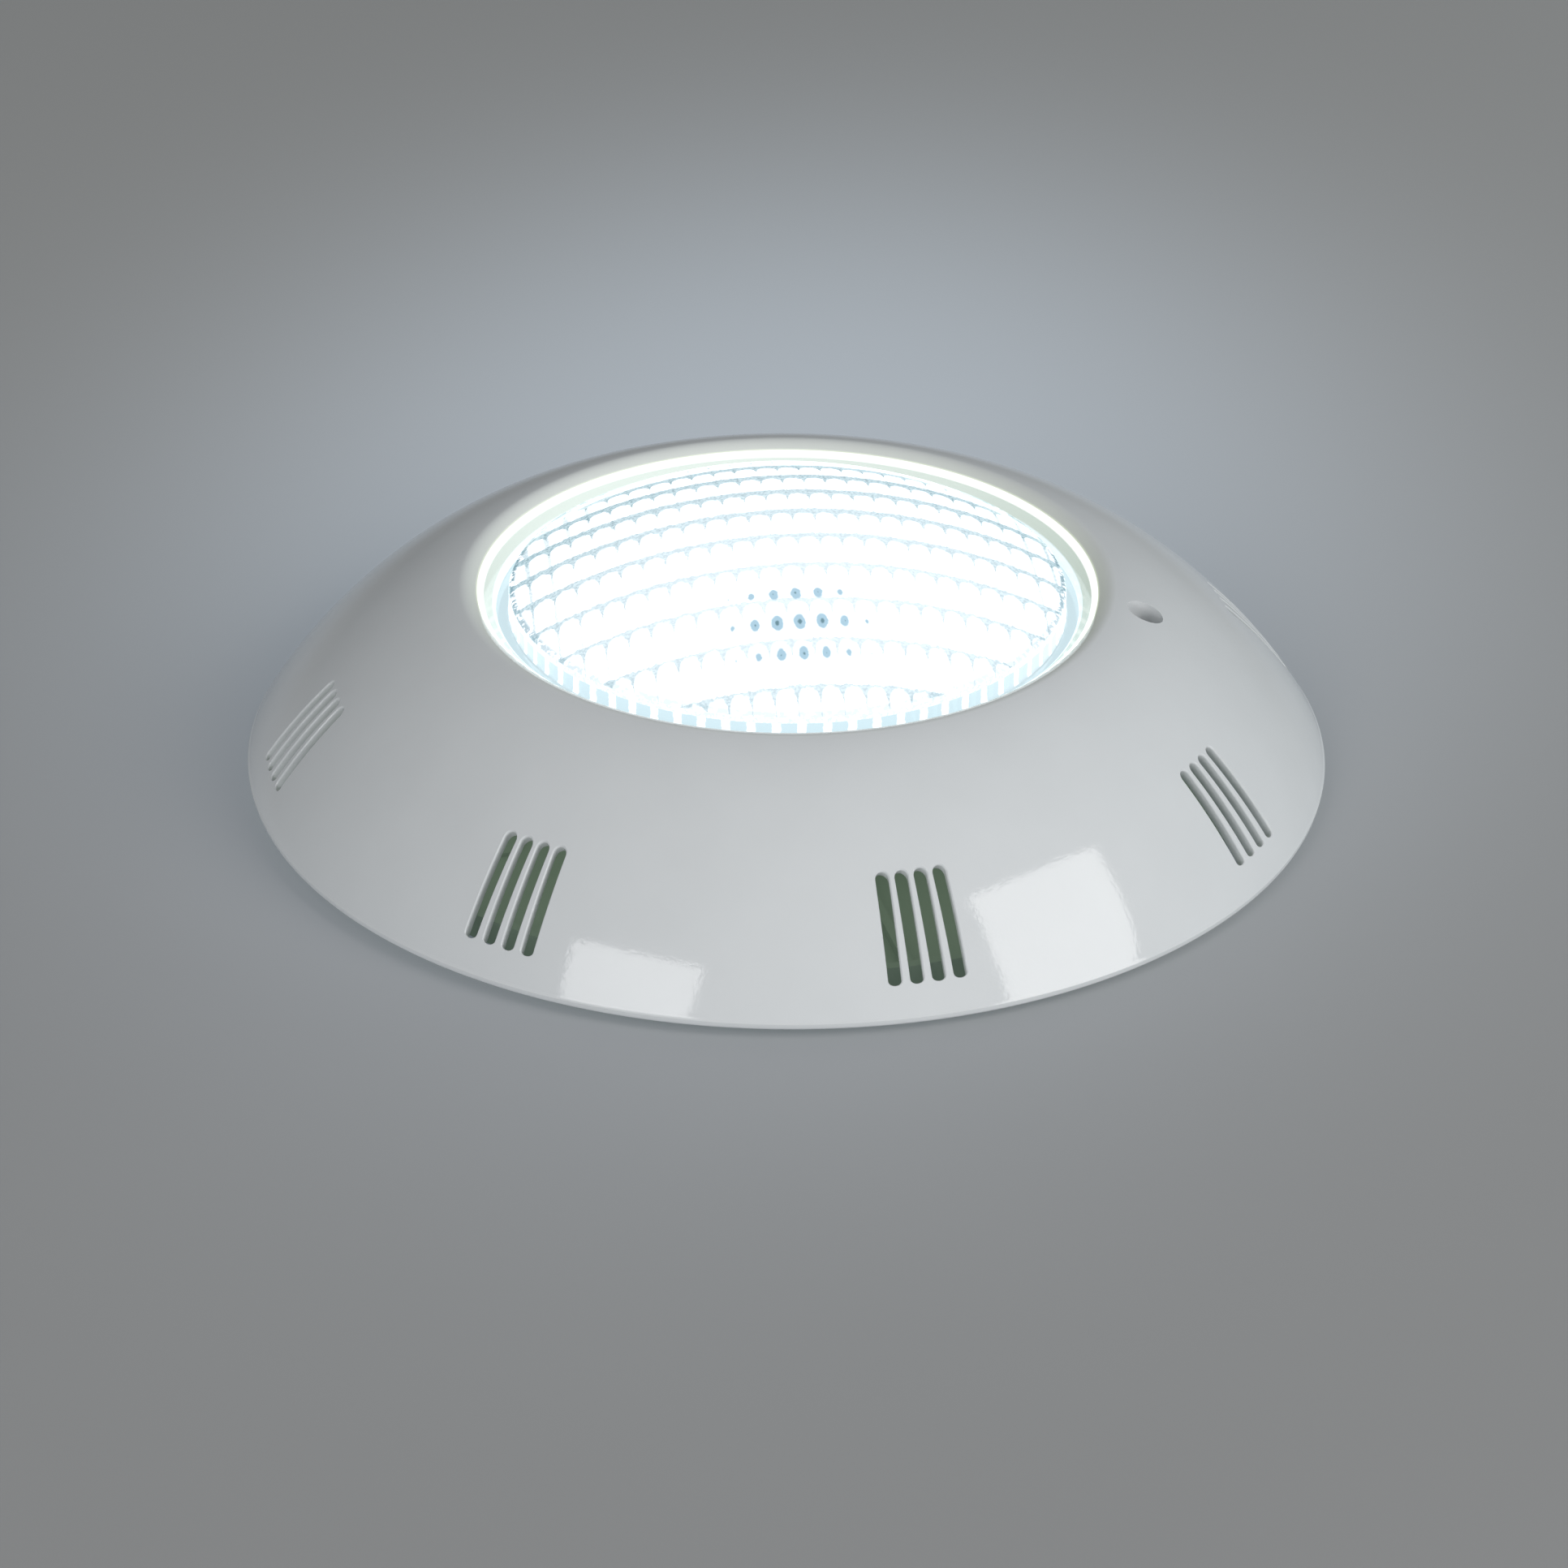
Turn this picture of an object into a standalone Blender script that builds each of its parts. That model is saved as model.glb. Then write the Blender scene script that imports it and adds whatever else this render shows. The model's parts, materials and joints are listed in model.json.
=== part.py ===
"""Round underwater pool light for surface mounting, as an assembly of separate pieces.

A wall bracket stays on the pool wall. The cover, with the sealed lamp clipped behind it,
hooks on a pin at one side of the bracket and is held by one captive screw at the other.

Frame: +Z is the direction of the light, z = 0 is the bracket's back face on the wall,
the lock screw is on +X and the hinge pin on -X. Sizes below are in millimetres.
"""

import math

import bmesh
import bpy
from mathutils import Matrix, Vector

MM = 0.001

# Running gap between touching pieces, and the tessellation of turned pieces
GAP = 0.3
ROUND_LARGE = 64
ROUND_BRACKET = 48
ROUND_MEDIUM = 40
ROUND_PLATE = 32
ROUND_COLLAR = 18
ROUND_BOSS = 16
ROUND_BORE = 14
ROUND_SMALL = 8
SHARP_EDGE_DEG = 32

# Cover
COVER_RADIUS = 145.0
COVER_WALL = 3.0
RIM_HEIGHT = 2.5
RIM_ROUNDING = 0.8
SHOULDER_RADIUS = 87.2
SHOULDER_HEIGHT = RIM_HEIGHT + 49.7
OPENING_RADIUS = 82.2
OPENING_HEIGHT = RIM_HEIGHT + 47.9
LIP_RADIUS = 77.5
LIP_HEIGHT = 46.5
LIP_BOTTOM = 44.5

# Water slots in the cover
SLOT_GROUPS = 8
SLOTS_PER_GROUP = 4
SLOT_STEP_DEG = 2.27
SLOT_WIDTH = 3.3
SLOT_INNER = (121.4, 32.4)
SLOT_OUTER = (140.2, 11.2)
SLOT_CUT_DEG = 56.0

# Lock screw and its bosses
SCREW_RADIUS = 95.1
SCREW_SHAFT = 2.5
SCREW_HEAD = 4.25
SCREW_HEAD_HEIGHT = 3.3
COUNTERBORE = 4.8
COUNTERBORE_FLOOR = 38.5
BOSS_FLOOR = 35.5
BOSS_RADIUS = 7.0
BOSS_BORE = 4.6
BRACKET_BOSS_TOP = 11.5
SCREW_TIP = 4.8
SCREW_TRAVEL = 8.0

# Hinge pin
PIN_X = -135.0
PIN_Z = 6.5
PIN_RADIUS = 1.5
PIN_LENGTH = 25.0
EAR_INNER = 9.0
EAR_OUTER = 12.0

# Wall bracket
BRACKET_RADIUS = 126.0
BRACKET_PLATE = 3.6
BRACKET_RECESS = 1.2
BRACKET_RIM = 7.0
HOLE_CIRCLE = 95.0
WALL_HOLE = 2.6
CABLE_HOLE = 13.0
RIB_WIDTH = 2.4
RIB_TOP = 6.0

# Lamp
FLANGE_RADIUS = 86.5
LENS_FLANGE_TOP = LIP_BOTTOM - GAP
LENS_FLANGE_BOTTOM = 41.4
LENS_WALL = 2.6
SKIRT_RADIUS = 74.0
SKIRT_TOP = 50.2
DOME_RADIUS = 73.6
DOME_BASE = 50.8
DOME_TOP = 70.8
HOUSING_FLANGE_TOP = LENS_FLANGE_BOTTOM - GAP
HOUSING_FLANGE_BOTTOM = 37.9
HOUSING_RADIUS = 73.0
HOUSING_WALL = 2.8
HOUSING_BOTTOM = 9.0
HOUSING_CORNER = 6.0
LEDGE_RADIUS = 66.5
LEDGE_HEIGHT = 29.7
LAMP_SCREWS = 6
LAMP_SCREW_CIRCLE = 84.0

# Boards
SPREADER_RADIUS = 69.9
SPREADER_BOTTOM = LEDGE_HEIGHT + GAP
SPREADER_TOP = 33.0
BOARD_RADIUS = 64.0
BOARD_BOTTOM = SPREADER_TOP + GAP
BOARD_TOP = BOARD_BOTTOM + 1.6
LEAD_HOLE = 4.0
LED_SIZE = 6.4
LED_HEIGHT = 1.6
LED_RINGS = ((6, 22.0, 0.0), (12, 46.0, 15.0))
DRIVER_RADIUS = 44.0
DRIVER_BOTTOM = 17.0
DRIVER_TOP = 18.6
DRIVER_POST_X = 36.0
BOARD_SCREW_X = 34.0

# Small assembly screws
SMALL_SCREW = 1.25
SMALL_HEAD = 2.3
SMALL_HEAD_HEIGHT = 1.6
SMALL_RECESS = 1.0

# Lamp clips
CLIPS = 3
CLIP_FIRST_DEG = 60.0
CLIP_CIRCLE = 95.0
CLIP_REACH = 15.0
CLIP_HALF_WIDTH = 4.5
CLIP_SCREW = 1.5
CLIP_SCREW_HEAD = 2.8
CLIP_BOSS = 4.5
CLIP_TOP = HOUSING_FLANGE_BOTTOM - GAP
CLIP_BOTTOM = CLIP_TOP - 2.2

# Cable gland on the lamp housing's -Y side
GLAND_Z = 21.0
PAD_FACE = 76.0
PAD_INNER = 63.0
PAD_HALF_WIDTH = 11.0
PAD_TOP = 29.4
GLAND_THREAD = 5.85
GLAND_BORE = 3.6
GLAND_FLATS = 15.0
GLAND_WASHER = 1.0
GLAND_HEX = 4.0
GLAND_SLEEVE = 9.5
GLAND_SLEEVE_RADIUS = 6.6
GLAND_NUT_RADIUS = 8.2
GLAND_MOUTH = 3.8


# ---------------------------------------------------------------- materials

def material(name, colour, roughness, metallic=0.0, transmission=0.0, emission=0.0):
    """A Principled material, made once and reused by its name."""
    if name in bpy.data.materials:
        return bpy.data.materials[name]
    made = bpy.data.materials.new(name)
    made.use_nodes = True
    shader = made.node_tree.nodes["Principled BSDF"]
    shader.inputs["Base Color"].default_value = (*colour, 1.0)
    shader.inputs["Roughness"].default_value = roughness
    shader.inputs["Metallic"].default_value = metallic
    shader.inputs["Transmission Weight"].default_value = transmission
    if emission > 0:
        shader.inputs["Emission Color"].default_value = (*colour, 1.0)
        shader.inputs["Emission Strength"].default_value = emission
    return made


def white_abs():
    return material("white_abs", (0.78, 0.80, 0.80), 0.22)


def grey_abs():
    return material("grey_abs", (0.46, 0.49, 0.49), 0.45)


def dark_green_abs():
    return material("dark_green_abs", (0.13, 0.18, 0.14), 0.45)


def clear_polycarbonate():
    return material("clear_polycarbonate", (0.90, 0.96, 0.98), 0.05, transmission=0.9)


def black_rubber():
    return material("black_rubber", (0.03, 0.03, 0.03), 0.7)


def white_reflector():
    return material("white_reflector", (0.92, 0.93, 0.93), 0.3)


def aluminium():
    return material("aluminium", (0.80, 0.81, 0.82), 0.35, metallic=1.0)


def white_solder_mask():
    return material("white_solder_mask", (0.86, 0.88, 0.86), 0.35)


def lit_led():
    return material("lit_led", (0.93, 0.97, 1.0), 0.3, emission=6.0)


def green_circuit_board():
    return material("green_circuit_board", (0.03, 0.22, 0.10), 0.4)


def stainless_steel():
    return material("stainless_steel", (0.72, 0.72, 0.71), 0.25, metallic=1.0)


def brass():
    return material("brass", (0.78, 0.58, 0.26), 0.3, metallic=1.0)


def natural_nylon():
    return material("natural_nylon", (0.85, 0.83, 0.76), 0.4)


def black_component():
    return material("black_component", (0.04, 0.04, 0.045), 0.45)


def copper_winding():
    return material("copper_winding", (0.62, 0.28, 0.14), 0.35, metallic=0.8)


def green_terminal():
    return material("green_terminal", (0.05, 0.35, 0.14), 0.45)


def red_insulation():
    return material("red_insulation", (0.60, 0.03, 0.03), 0.4)


def black_insulation():
    return material("black_insulation", (0.02, 0.02, 0.02), 0.4)


# ---------------------------------------------------------------- solids

def turned(profile, steps):
    """A solid turned about Z from (radius, height) points, closed round the loop or on the axis."""
    mesh = bmesh.new()
    points = [mesh.verts.new((radius, 0.0, height)) for radius, height in profile]
    edges = [mesh.edges.new(pair) for pair in zip(points, points[1:])]
    on_axis = profile[0][0] == 0.0 and profile[-1][0] == 0.0
    if not on_axis:
        edges.append(mesh.edges.new((points[-1], points[0])))
    bmesh.ops.spin(
        mesh, geom=points + edges, cent=(0, 0, 0), axis=(0, 0, 1),
        angle=2 * math.pi, steps=steps, use_merge=True, use_duplicate=False,
    )
    bmesh.ops.remove_doubles(mesh, verts=mesh.verts, dist=0.0005)
    bmesh.ops.recalc_face_normals(mesh, faces=mesh.faces)
    return mesh


def prism(outline, bottom, top):
    """A solid with the given (x, y) outline between two heights."""
    mesh = bmesh.new()
    face = mesh.faces.new([mesh.verts.new((x, y, bottom)) for x, y in outline])
    raised = bmesh.ops.extrude_face_region(mesh, geom=[face])
    lifted = [item for item in raised["geom"] if isinstance(item, bmesh.types.BMVert)]
    bmesh.ops.translate(mesh, verts=lifted, vec=(0, 0, top - bottom))
    bmesh.ops.recalc_face_normals(mesh, faces=mesh.faces)
    return mesh


def regular_outline(sides, radius, first_deg=0.0):
    """Corners of a regular polygon about the origin."""
    angles = [math.radians(first_deg) + 2 * math.pi * i / sides for i in range(sides)]
    return [(radius * math.cos(a), radius * math.sin(a)) for a in angles]


def hexagon(across_flats):
    """Corners of a hexagon with two sides parallel to X."""
    return regular_outline(6, across_flats / 2 / math.cos(math.radians(30)))


def stadium_outline(length, width, arc_steps=4):
    """Outline of a bar with round ends along X, from centre to centre of its ends."""
    outline = []
    for centre, start in ((length, -90.0), (0.0, 90.0)):
        for i in range(arc_steps + 1):
            angle = math.radians(start + 180.0 * i / arc_steps)
            outline.append((centre + width * math.cos(angle), width * math.sin(angle)))
    return outline


def ring(inner, outer, bottom, top, steps):
    """A plain ring of rectangular section."""
    return turned([(inner, bottom), (outer, bottom), (outer, top), (inner, top)], steps)


def disc(radius, bottom, top, steps):
    """A plain disc."""
    return turned([(0.0, bottom), (radius, bottom), (radius, top), (0.0, top)], steps)


def box(x_range, y_range, z_range):
    """A rectangular block."""
    outline = [(x, y) for x, y in (
        (x_range[0], y_range[0]), (x_range[1], y_range[0]),
        (x_range[1], y_range[1]), (x_range[0], y_range[1]),
    )]
    return prism(outline, *z_range)


def moved(mesh, offset=(0, 0, 0), turn_deg=0.0):
    """The mesh turned about Z and then shifted."""
    placing = Matrix.Translation(offset) @ Matrix.Rotation(math.radians(turn_deg), 4, "Z")
    bmesh.ops.transform(mesh, matrix=placing, verts=mesh.verts)
    return mesh


def laid_along_minus_y(mesh, height):
    """The mesh tipped so that its +Z points along -Y, on an axis at the given height."""
    placing = Matrix.Translation((0, 0, height)) @ Matrix.Rotation(math.radians(90), 4, "X")
    bmesh.ops.transform(mesh, matrix=placing, verts=mesh.verts)
    return mesh


def group(meshes):
    """Several solids that don't touch, as the one tool of a Boolean."""
    joined = bmesh.new()
    for mesh in meshes:
        data = bpy.data.meshes.new("part_of_group")
        mesh.to_mesh(data)
        mesh.free()
        joined.from_mesh(data)
        bpy.data.meshes.remove(data)
    return joined


# ---------------------------------------------------------------- objects

def plain_object(name, mesh):
    """An object at the origin whose mesh is in metres."""
    bmesh.ops.scale(mesh, vec=(MM, MM, MM), verts=mesh.verts)
    data = bpy.data.meshes.new(name)
    mesh.to_mesh(data)
    mesh.free()
    made = bpy.data.objects.new(name, data)
    bpy.context.scene.collection.objects.link(made)
    return made


def taken_back(made):
    """The object's mesh, back in millimetres, with the object itself removed."""
    mesh = bmesh.new()
    mesh.from_mesh(made.data)
    bpy.data.meshes.remove(made.data)
    bmesh.ops.scale(mesh, vec=(1 / MM, 1 / MM, 1 / MM), verts=mesh.verts)
    return mesh


def combine(target, operation, tool_mesh):
    """Joins the tool to the target, or cuts it away, with an exact Boolean."""
    tool = plain_object("tool", tool_mesh)
    modifier = target.modifiers.new(operation, "BOOLEAN")
    modifier.operation = operation
    modifier.solver = "EXACT"
    modifier.object = tool
    seen = target.evaluated_get(bpy.context.evaluated_depsgraph_get())
    result = bpy.data.meshes.new_from_object(seen)
    before = target.data
    target.modifiers.clear()
    target.data = result
    bpy.data.meshes.remove(before)
    bpy.data.meshes.remove(tool.data)
    result.name = target.name


def finish(made, look, parent, origin=(0, 0, 0)):
    """Sets the object's material, shading, origin (in mm) and parent."""
    made.data.materials.clear()
    made.data.materials.append(look)
    made.data.shade_smooth()
    made.data.set_sharp_from_angle(angle=math.radians(SHARP_EDGE_DEG))
    origin_m = Vector(origin) * MM
    made.data.transform(Matrix.Translation(-origin_m))
    made.parent = parent
    made.location = origin_m - (parent.location if parent else Vector())
    return made


def add_piece(name, mesh, look, parent=None, origin=(0, 0, 0)):
    """A finished piece from a mesh in millimetres."""
    return finish(plain_object(name, mesh), look, parent, origin)


def add_empty(name, position):
    """An empty on a joint's axis, for the pieces that move with it."""
    made = bpy.data.objects.new(name, None)
    made.empty_display_size = 10 * MM
    made.location = Vector(position) * MM
    bpy.context.scene.collection.objects.link(made)
    return made


def at_angle(radius, angle_deg, height=0.0):
    """A point on a circle about the main axis."""
    angle = math.radians(angle_deg)
    return (radius * math.cos(angle), radius * math.sin(angle), height)


# ---------------------------------------------------------------- wall bracket

def hook_mesh():
    """The hook that the hinge pin sits in: an open C, seen along Y."""
    floor_end = PIN_X - 3.0
    post_face = PIN_X + PIN_RADIUS + 0.5
    nose_bottom = PIN_Z + PIN_RADIUS + 0.4
    nose_top = nose_bottom + 2.1
    nose_end = PIN_X - PIN_RADIUS
    outline = [
        (-120.0, 0.0), (-120.0, BRACKET_PLATE), (-127.0, nose_top - 1.5), (-129.0, nose_top),
        (nose_end + 1.0, nose_top), (nose_end, nose_bottom), (post_face, nose_bottom),
        (post_face, BRACKET_PLATE - 0.6), (floor_end, BRACKET_PLATE - 0.6), (floor_end, 0.0),
    ]
    half_width = 7.5
    mesh = prism(outline, -half_width, half_width)
    upright = Matrix.Rotation(math.radians(90), 4, "X")
    bmesh.ops.transform(mesh, matrix=upright, verts=mesh.verts)
    return mesh


def wall_bracket(parent):
    """Round plate with a recessed back, ribs, a hook and the lock screw's boss."""
    pad = 24.0
    rim_inner = BRACKET_RADIUS - 2.5
    profile = [
        (0.0, 0.0), (pad, 0.0), (pad + 1.0, BRACKET_RECESS), (115.0, BRACKET_RECESS),
        (116.0, 0.0), (BRACKET_RADIUS, 0.0), (BRACKET_RADIUS, BRACKET_RIM),
        (rim_inner, BRACKET_RIM), (rim_inner, BRACKET_PLATE), (0.0, BRACKET_PLATE),
    ]
    made = plain_object("wall_bracket", turned(profile, ROUND_BRACKET))
    added = [hook_mesh()]
    added.append(moved(disc(BOSS_RADIUS, 0.0, BRACKET_BOSS_TOP, ROUND_BORE), (SCREW_RADIUS, 0, 0)))
    added.append(moved(disc(CABLE_HOLE + 3.5, 0.0, RIB_TOP, ROUND_COLLAR), (0, HOLE_CIRCLE, 0)))
    for i in range(4):
        angle = 45.0 + 90.0 * i
        added.append(moved(disc(8.0, 0.0, 4.6, ROUND_BORE), at_angle(HOLE_CIRCLE, angle)))
    for i in range(8):
        rib = box((pad + 2.0, rim_inner + 1.0), (-RIB_WIDTH / 2, RIB_WIDTH / 2), (3.0, RIB_TOP))
        added.append(moved(rib, turn_deg=22.5 + 45.0 * i))
    combine(made, "UNION", group(added))
    cuts = [moved(disc(4.0, 3.0, 20.0, ROUND_BORE), (SCREW_RADIUS, 0, 0))]
    cuts.append(moved(disc(CABLE_HOLE, -5.0, 20.0, ROUND_COLLAR), (0, HOLE_CIRCLE, 0)))
    for i in range(4):
        angle = 45.0 + 90.0 * i
        cuts.append(moved(disc(WALL_HOLE, -5.0, 20.0, ROUND_SMALL), at_angle(HOLE_CIRCLE, angle)))
    combine(made, "DIFFERENCE", group(cuts))
    return finish(made, dark_green_abs(), parent)


def bracket_insert(parent):
    """Threaded brass insert in the bracket's boss."""
    mesh = ring(SCREW_SHAFT + GAP, 3.7, 3.3, BRACKET_BOSS_TOP - GAP, ROUND_BORE)
    return add_piece("bracket_insert", moved(mesh, (SCREW_RADIUS, 0, 0)), brass(), parent)


# ---------------------------------------------------------------- cover

def bezier_point(points, t):
    """A point and a unit normal, to the left of the direction of travel, on a Bezier curve."""
    degree = len(points) - 1
    position = Vector((0.0, 0.0))
    for i, point in enumerate(points):
        position += math.comb(degree, i) * (1 - t) ** (degree - i) * t ** i * Vector(point)
    slope = Vector((0.0, 0.0))
    for i in range(degree):
        weight = degree * math.comb(degree - 1, i) * (1 - t) ** (degree - 1 - i) * t ** i
        slope += weight * (Vector(points[i + 1]) - Vector(points[i]))
    normal = Vector((-slope.y, slope.x)).normalized()
    return position, normal


def cover_curve(offset=0.0, steps=8):
    """The cover's outer line from the rim up to the shoulder, or a line inside it."""
    foot = (COVER_RADIUS, RIM_HEIGHT + RIM_ROUNDING)
    foot_handle = (COVER_RADIUS + 0.7, RIM_HEIGHT + 2.6)
    top_handle = (119.0, RIM_HEIGHT + 42.5)
    top = (SHOULDER_RADIUS, SHOULDER_HEIGHT)
    line = []
    for i in range(steps + 1):
        position, normal = bezier_point((foot, foot_handle, top_handle, top), i / steps)
        line.append(tuple(position + normal * offset))
    return line


def shoulder_curve(steps=3):
    """The rounded shoulder from the top of the cover to the edge of its opening."""
    top = (SHOULDER_RADIUS, SHOULDER_HEIGHT)
    handle = (85.0, SHOULDER_HEIGHT + 0.5)
    edge = (OPENING_RADIUS, OPENING_HEIGHT)
    return [tuple(bezier_point((top, handle, edge), i / steps)[0]) for i in range(1, steps + 1)]


def slot_cutters():
    """The tools that cut the groups of water slots, each a round-ended bar through the wall."""
    inner = Vector((SLOT_INNER[0], 0, SLOT_INNER[1]))
    outer = Vector((SLOT_OUTER[0], 0, SLOT_OUTER[1]))
    middle = (inner + outer) / 2
    along = (outer - inner).normalized()
    length = (outer - inner).length - SLOT_WIDTH
    cut = Vector((math.cos(math.radians(SLOT_CUT_DEG)), 0, math.sin(math.radians(SLOT_CUT_DEG))))
    across = Vector((0, 1, 0))
    frame = Matrix((along, across, cut)).transposed().to_4x4()
    placing = Matrix.Translation(middle - along * length / 2) @ frame
    tools = []
    for i in range(SLOT_GROUPS):
        group_angle = (i + 0.5) * 360.0 / SLOT_GROUPS
        for j in range(SLOTS_PER_GROUP):
            tool = prism(stadium_outline(length, SLOT_WIDTH / 2), -9.0, 9.0)
            bmesh.ops.transform(tool, matrix=placing, verts=tool.verts)
            offset = (j - (SLOTS_PER_GROUP - 1) / 2) * SLOT_STEP_DEG
            tools.append(moved(tool, turn_deg=group_angle + offset))
    for tool in tools:
        bmesh.ops.recalc_face_normals(tool, faces=tool.faces)
    return tools


def clip_angles():
    return [CLIP_FIRST_DEG + 360.0 * i / CLIPS for i in range(CLIPS)]


def cover_bosses():
    """What stands inside the cover: the screw boss, the clip bosses and the pin's two ears."""
    above = 70.0
    bosses = [moved(disc(BOSS_RADIUS, BRACKET_BOSS_TOP + GAP, above, ROUND_BORE), (SCREW_RADIUS, 0, 0))]
    for angle in clip_angles():
        boss = disc(CLIP_BOSS, HOUSING_FLANGE_BOTTOM, above, ROUND_BOSS)
        bosses.append(moved(boss, at_angle(CLIP_CIRCLE, angle)))
    for side in (-1, 1):
        near, far = sorted((side * EAR_INNER, side * EAR_OUTER))
        bosses.append(box((PIN_X - 16.0, PIN_X + 3.5), (near, far), (3.0, PIN_Z + 4.0)))
    return bosses


def front_cover(parent):
    """Domed moulding with the opening for the lens, the slots and the screw's counterbore."""
    inside = LIP_RADIUS - 8.0
    below = RIM_HEIGHT - 8.0
    outer = [(LIP_RADIUS, RIM_HEIGHT), (COVER_RADIUS - RIM_ROUNDING, RIM_HEIGHT)]
    outer += cover_curve() + shoulder_curve()
    outer.append((LIP_RADIUS, LIP_HEIGHT))
    made = plain_object("front_cover", turned(outer, ROUND_LARGE))
    inner_line = cover_curve(offset=COVER_WALL, steps=5)
    hollow = [(inside, below), (COVER_RADIUS - COVER_WALL, below)]
    hollow += inner_line + [(83.0, 47.2), (80.6, LIP_BOTTOM), (inside, LIP_BOTTOM)]
    cavity = plain_object("cavity", turned(hollow, ROUND_LARGE))
    combine(cavity, "DIFFERENCE", group(cover_bosses()))
    combine(made, "DIFFERENCE", taken_back(cavity))
    screw_way = turned([
        (0.0, 5.0), (BOSS_BORE, 5.0), (BOSS_BORE, BOSS_FLOOR), (SCREW_SHAFT + GAP, BOSS_FLOOR),
        (SCREW_SHAFT + GAP, COUNTERBORE_FLOOR), (COUNTERBORE, COUNTERBORE_FLOOR),
        (COUNTERBORE, 70.0), (0.0, 70.0),
    ], ROUND_BORE)
    cuts = [moved(screw_way, (SCREW_RADIUS, 0, 0))]
    for angle in clip_angles():
        hole = disc(CLIP_SCREW + GAP, 30.0, 45.5, ROUND_SMALL)
        cuts.append(moved(hole, at_angle(CLIP_CIRCLE, angle)))
    pin_hole = disc(PIN_RADIUS + GAP, -EAR_OUTER - 2.0, EAR_OUTER + 2.0, ROUND_SMALL)
    cuts.append(moved(laid_along_minus_y(pin_hole, PIN_Z), (PIN_X, 0, 0)))
    combine(made, "DIFFERENCE", group(cuts + slot_cutters()))
    return finish(made, white_abs(), parent, (PIN_X, 0, PIN_Z))


def hinge_pin(parent):
    """Steel pin across the cover's two ears, which turns in the bracket's hook."""
    half = PIN_LENGTH / 2
    chamfer = 0.4
    profile = [
        (0.0, -half), (PIN_RADIUS - chamfer, -half), (PIN_RADIUS, chamfer - half),
        (PIN_RADIUS, half - chamfer), (PIN_RADIUS - chamfer, half), (0.0, half),
    ]
    mesh = laid_along_minus_y(turned(profile, ROUND_SMALL), PIN_Z)
    look = stainless_steel()
    return add_piece("hinge_pin", moved(mesh, (PIN_X, 0, 0)), look, parent, (PIN_X, 0, PIN_Z))


# ---------------------------------------------------------------- screws

def screw_mesh(shaft, head, head_height, length, recess, steps=ROUND_SMALL):
    """A cheese-head screw on Z: its head's underside at z = 0, its shaft down to -length."""
    chamfer = 0.12 * head
    depth = 0.55 * head_height
    profile = [
        (0.0, -length), (0.75 * shaft, -length), (shaft, 0.6 * shaft - length), (shaft, 0.0),
        (head, 0.0), (head, head_height - chamfer), (head - chamfer, head_height),
        (recess, head_height), (0.8 * recess, head_height - depth), (0.0, head_height - depth),
    ]
    return turned(profile, steps)


def small_screw(length):
    """One of the small screws that hold the lamp and its boards together."""
    return screw_mesh(SMALL_SCREW, SMALL_HEAD, SMALL_HEAD_HEIGHT, length, SMALL_RECESS)


def pointing_up(mesh):
    """A screw that is driven from below: its shaft points up."""
    flip = Matrix.Rotation(math.pi, 4, "X")
    bmesh.ops.transform(mesh, matrix=flip, verts=mesh.verts)
    return mesh


def lock_screw(washer_parent, screw_parent):
    """The captive lock screw, its washer, and the ring that keeps it in the cover."""
    place = (SCREW_RADIUS, 0, 0)
    washer_top = COUNTERBORE_FLOOR + GAP + 1.0
    head_base = washer_top + GAP
    washer = ring(SCREW_SHAFT + GAP, SCREW_HEAD + 0.2, washer_top - 1.0, washer_top, ROUND_BORE)
    add_piece("screw_washer", moved(washer, place), natural_nylon(), washer_parent, place)
    screw = screw_mesh(SCREW_SHAFT, SCREW_HEAD, SCREW_HEAD_HEIGHT, head_base - SCREW_TIP, 2.2, ROUND_BORE)
    screw = moved(screw, (SCREW_RADIUS, 0, head_base))
    add_piece("lock_screw", screw, stainless_steel(), screw_parent, place)
    ring_top = BOSS_FLOOR - SCREW_TRAVEL - GAP
    keeper = ring(SCREW_SHAFT + GAP, BOSS_BORE - 0.6, ring_top - 1.2, ring_top, ROUND_BOSS)
    add_piece("screw_retainer", moved(keeper, place), stainless_steel(), screw_parent, place)


def lamp_clips(parents, cover_parent):
    """Turn clips that hold the lamp's flange against the cover's lip, with their screws."""
    for number, (angle, parent) in enumerate(zip(clip_angles(), parents), start=1):
        pivot = at_angle(CLIP_CIRCLE, angle)
        name = f"lamp_clip_{number}"
        clip = prism(stadium_outline(CLIP_REACH, CLIP_HALF_WIDTH), CLIP_BOTTOM, CLIP_TOP)
        made = plain_object(name, moved(clip, pivot, angle + 180.0))
        hole = disc(CLIP_SCREW + GAP, CLIP_BOTTOM - 2.0, CLIP_TOP + 2.0, ROUND_SMALL)
        combine(made, "DIFFERENCE", moved(hole, pivot))
        finish(made, grey_abs(), parent, pivot)
        screw = pointing_up(screw_mesh(CLIP_SCREW, CLIP_SCREW_HEAD, 2.0, 9.5, 1.3))
        screw = moved(screw, (pivot[0], pivot[1], CLIP_BOTTOM - GAP))
        add_piece(f"clip_screw_{number}", screw, stainless_steel(), cover_parent, pivot)


def lamp_screw_angles():
    return [30.0 + 360.0 * i / LAMP_SCREWS for i in range(LAMP_SCREWS)]


def lamp_screws(parent):
    """Screws from behind that pull the lens flange onto the housing."""
    for number, angle in enumerate(lamp_screw_angles(), start=1):
        place = at_angle(LAMP_SCREW_CIRCLE, angle, HOUSING_FLANGE_BOTTOM - GAP)
        screw = pointing_up(small_screw(5.4))
        add_piece(f"lamp_screw_{number}", moved(screw, place), stainless_steel(), parent, place)


# ---------------------------------------------------------------- lamp

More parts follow.
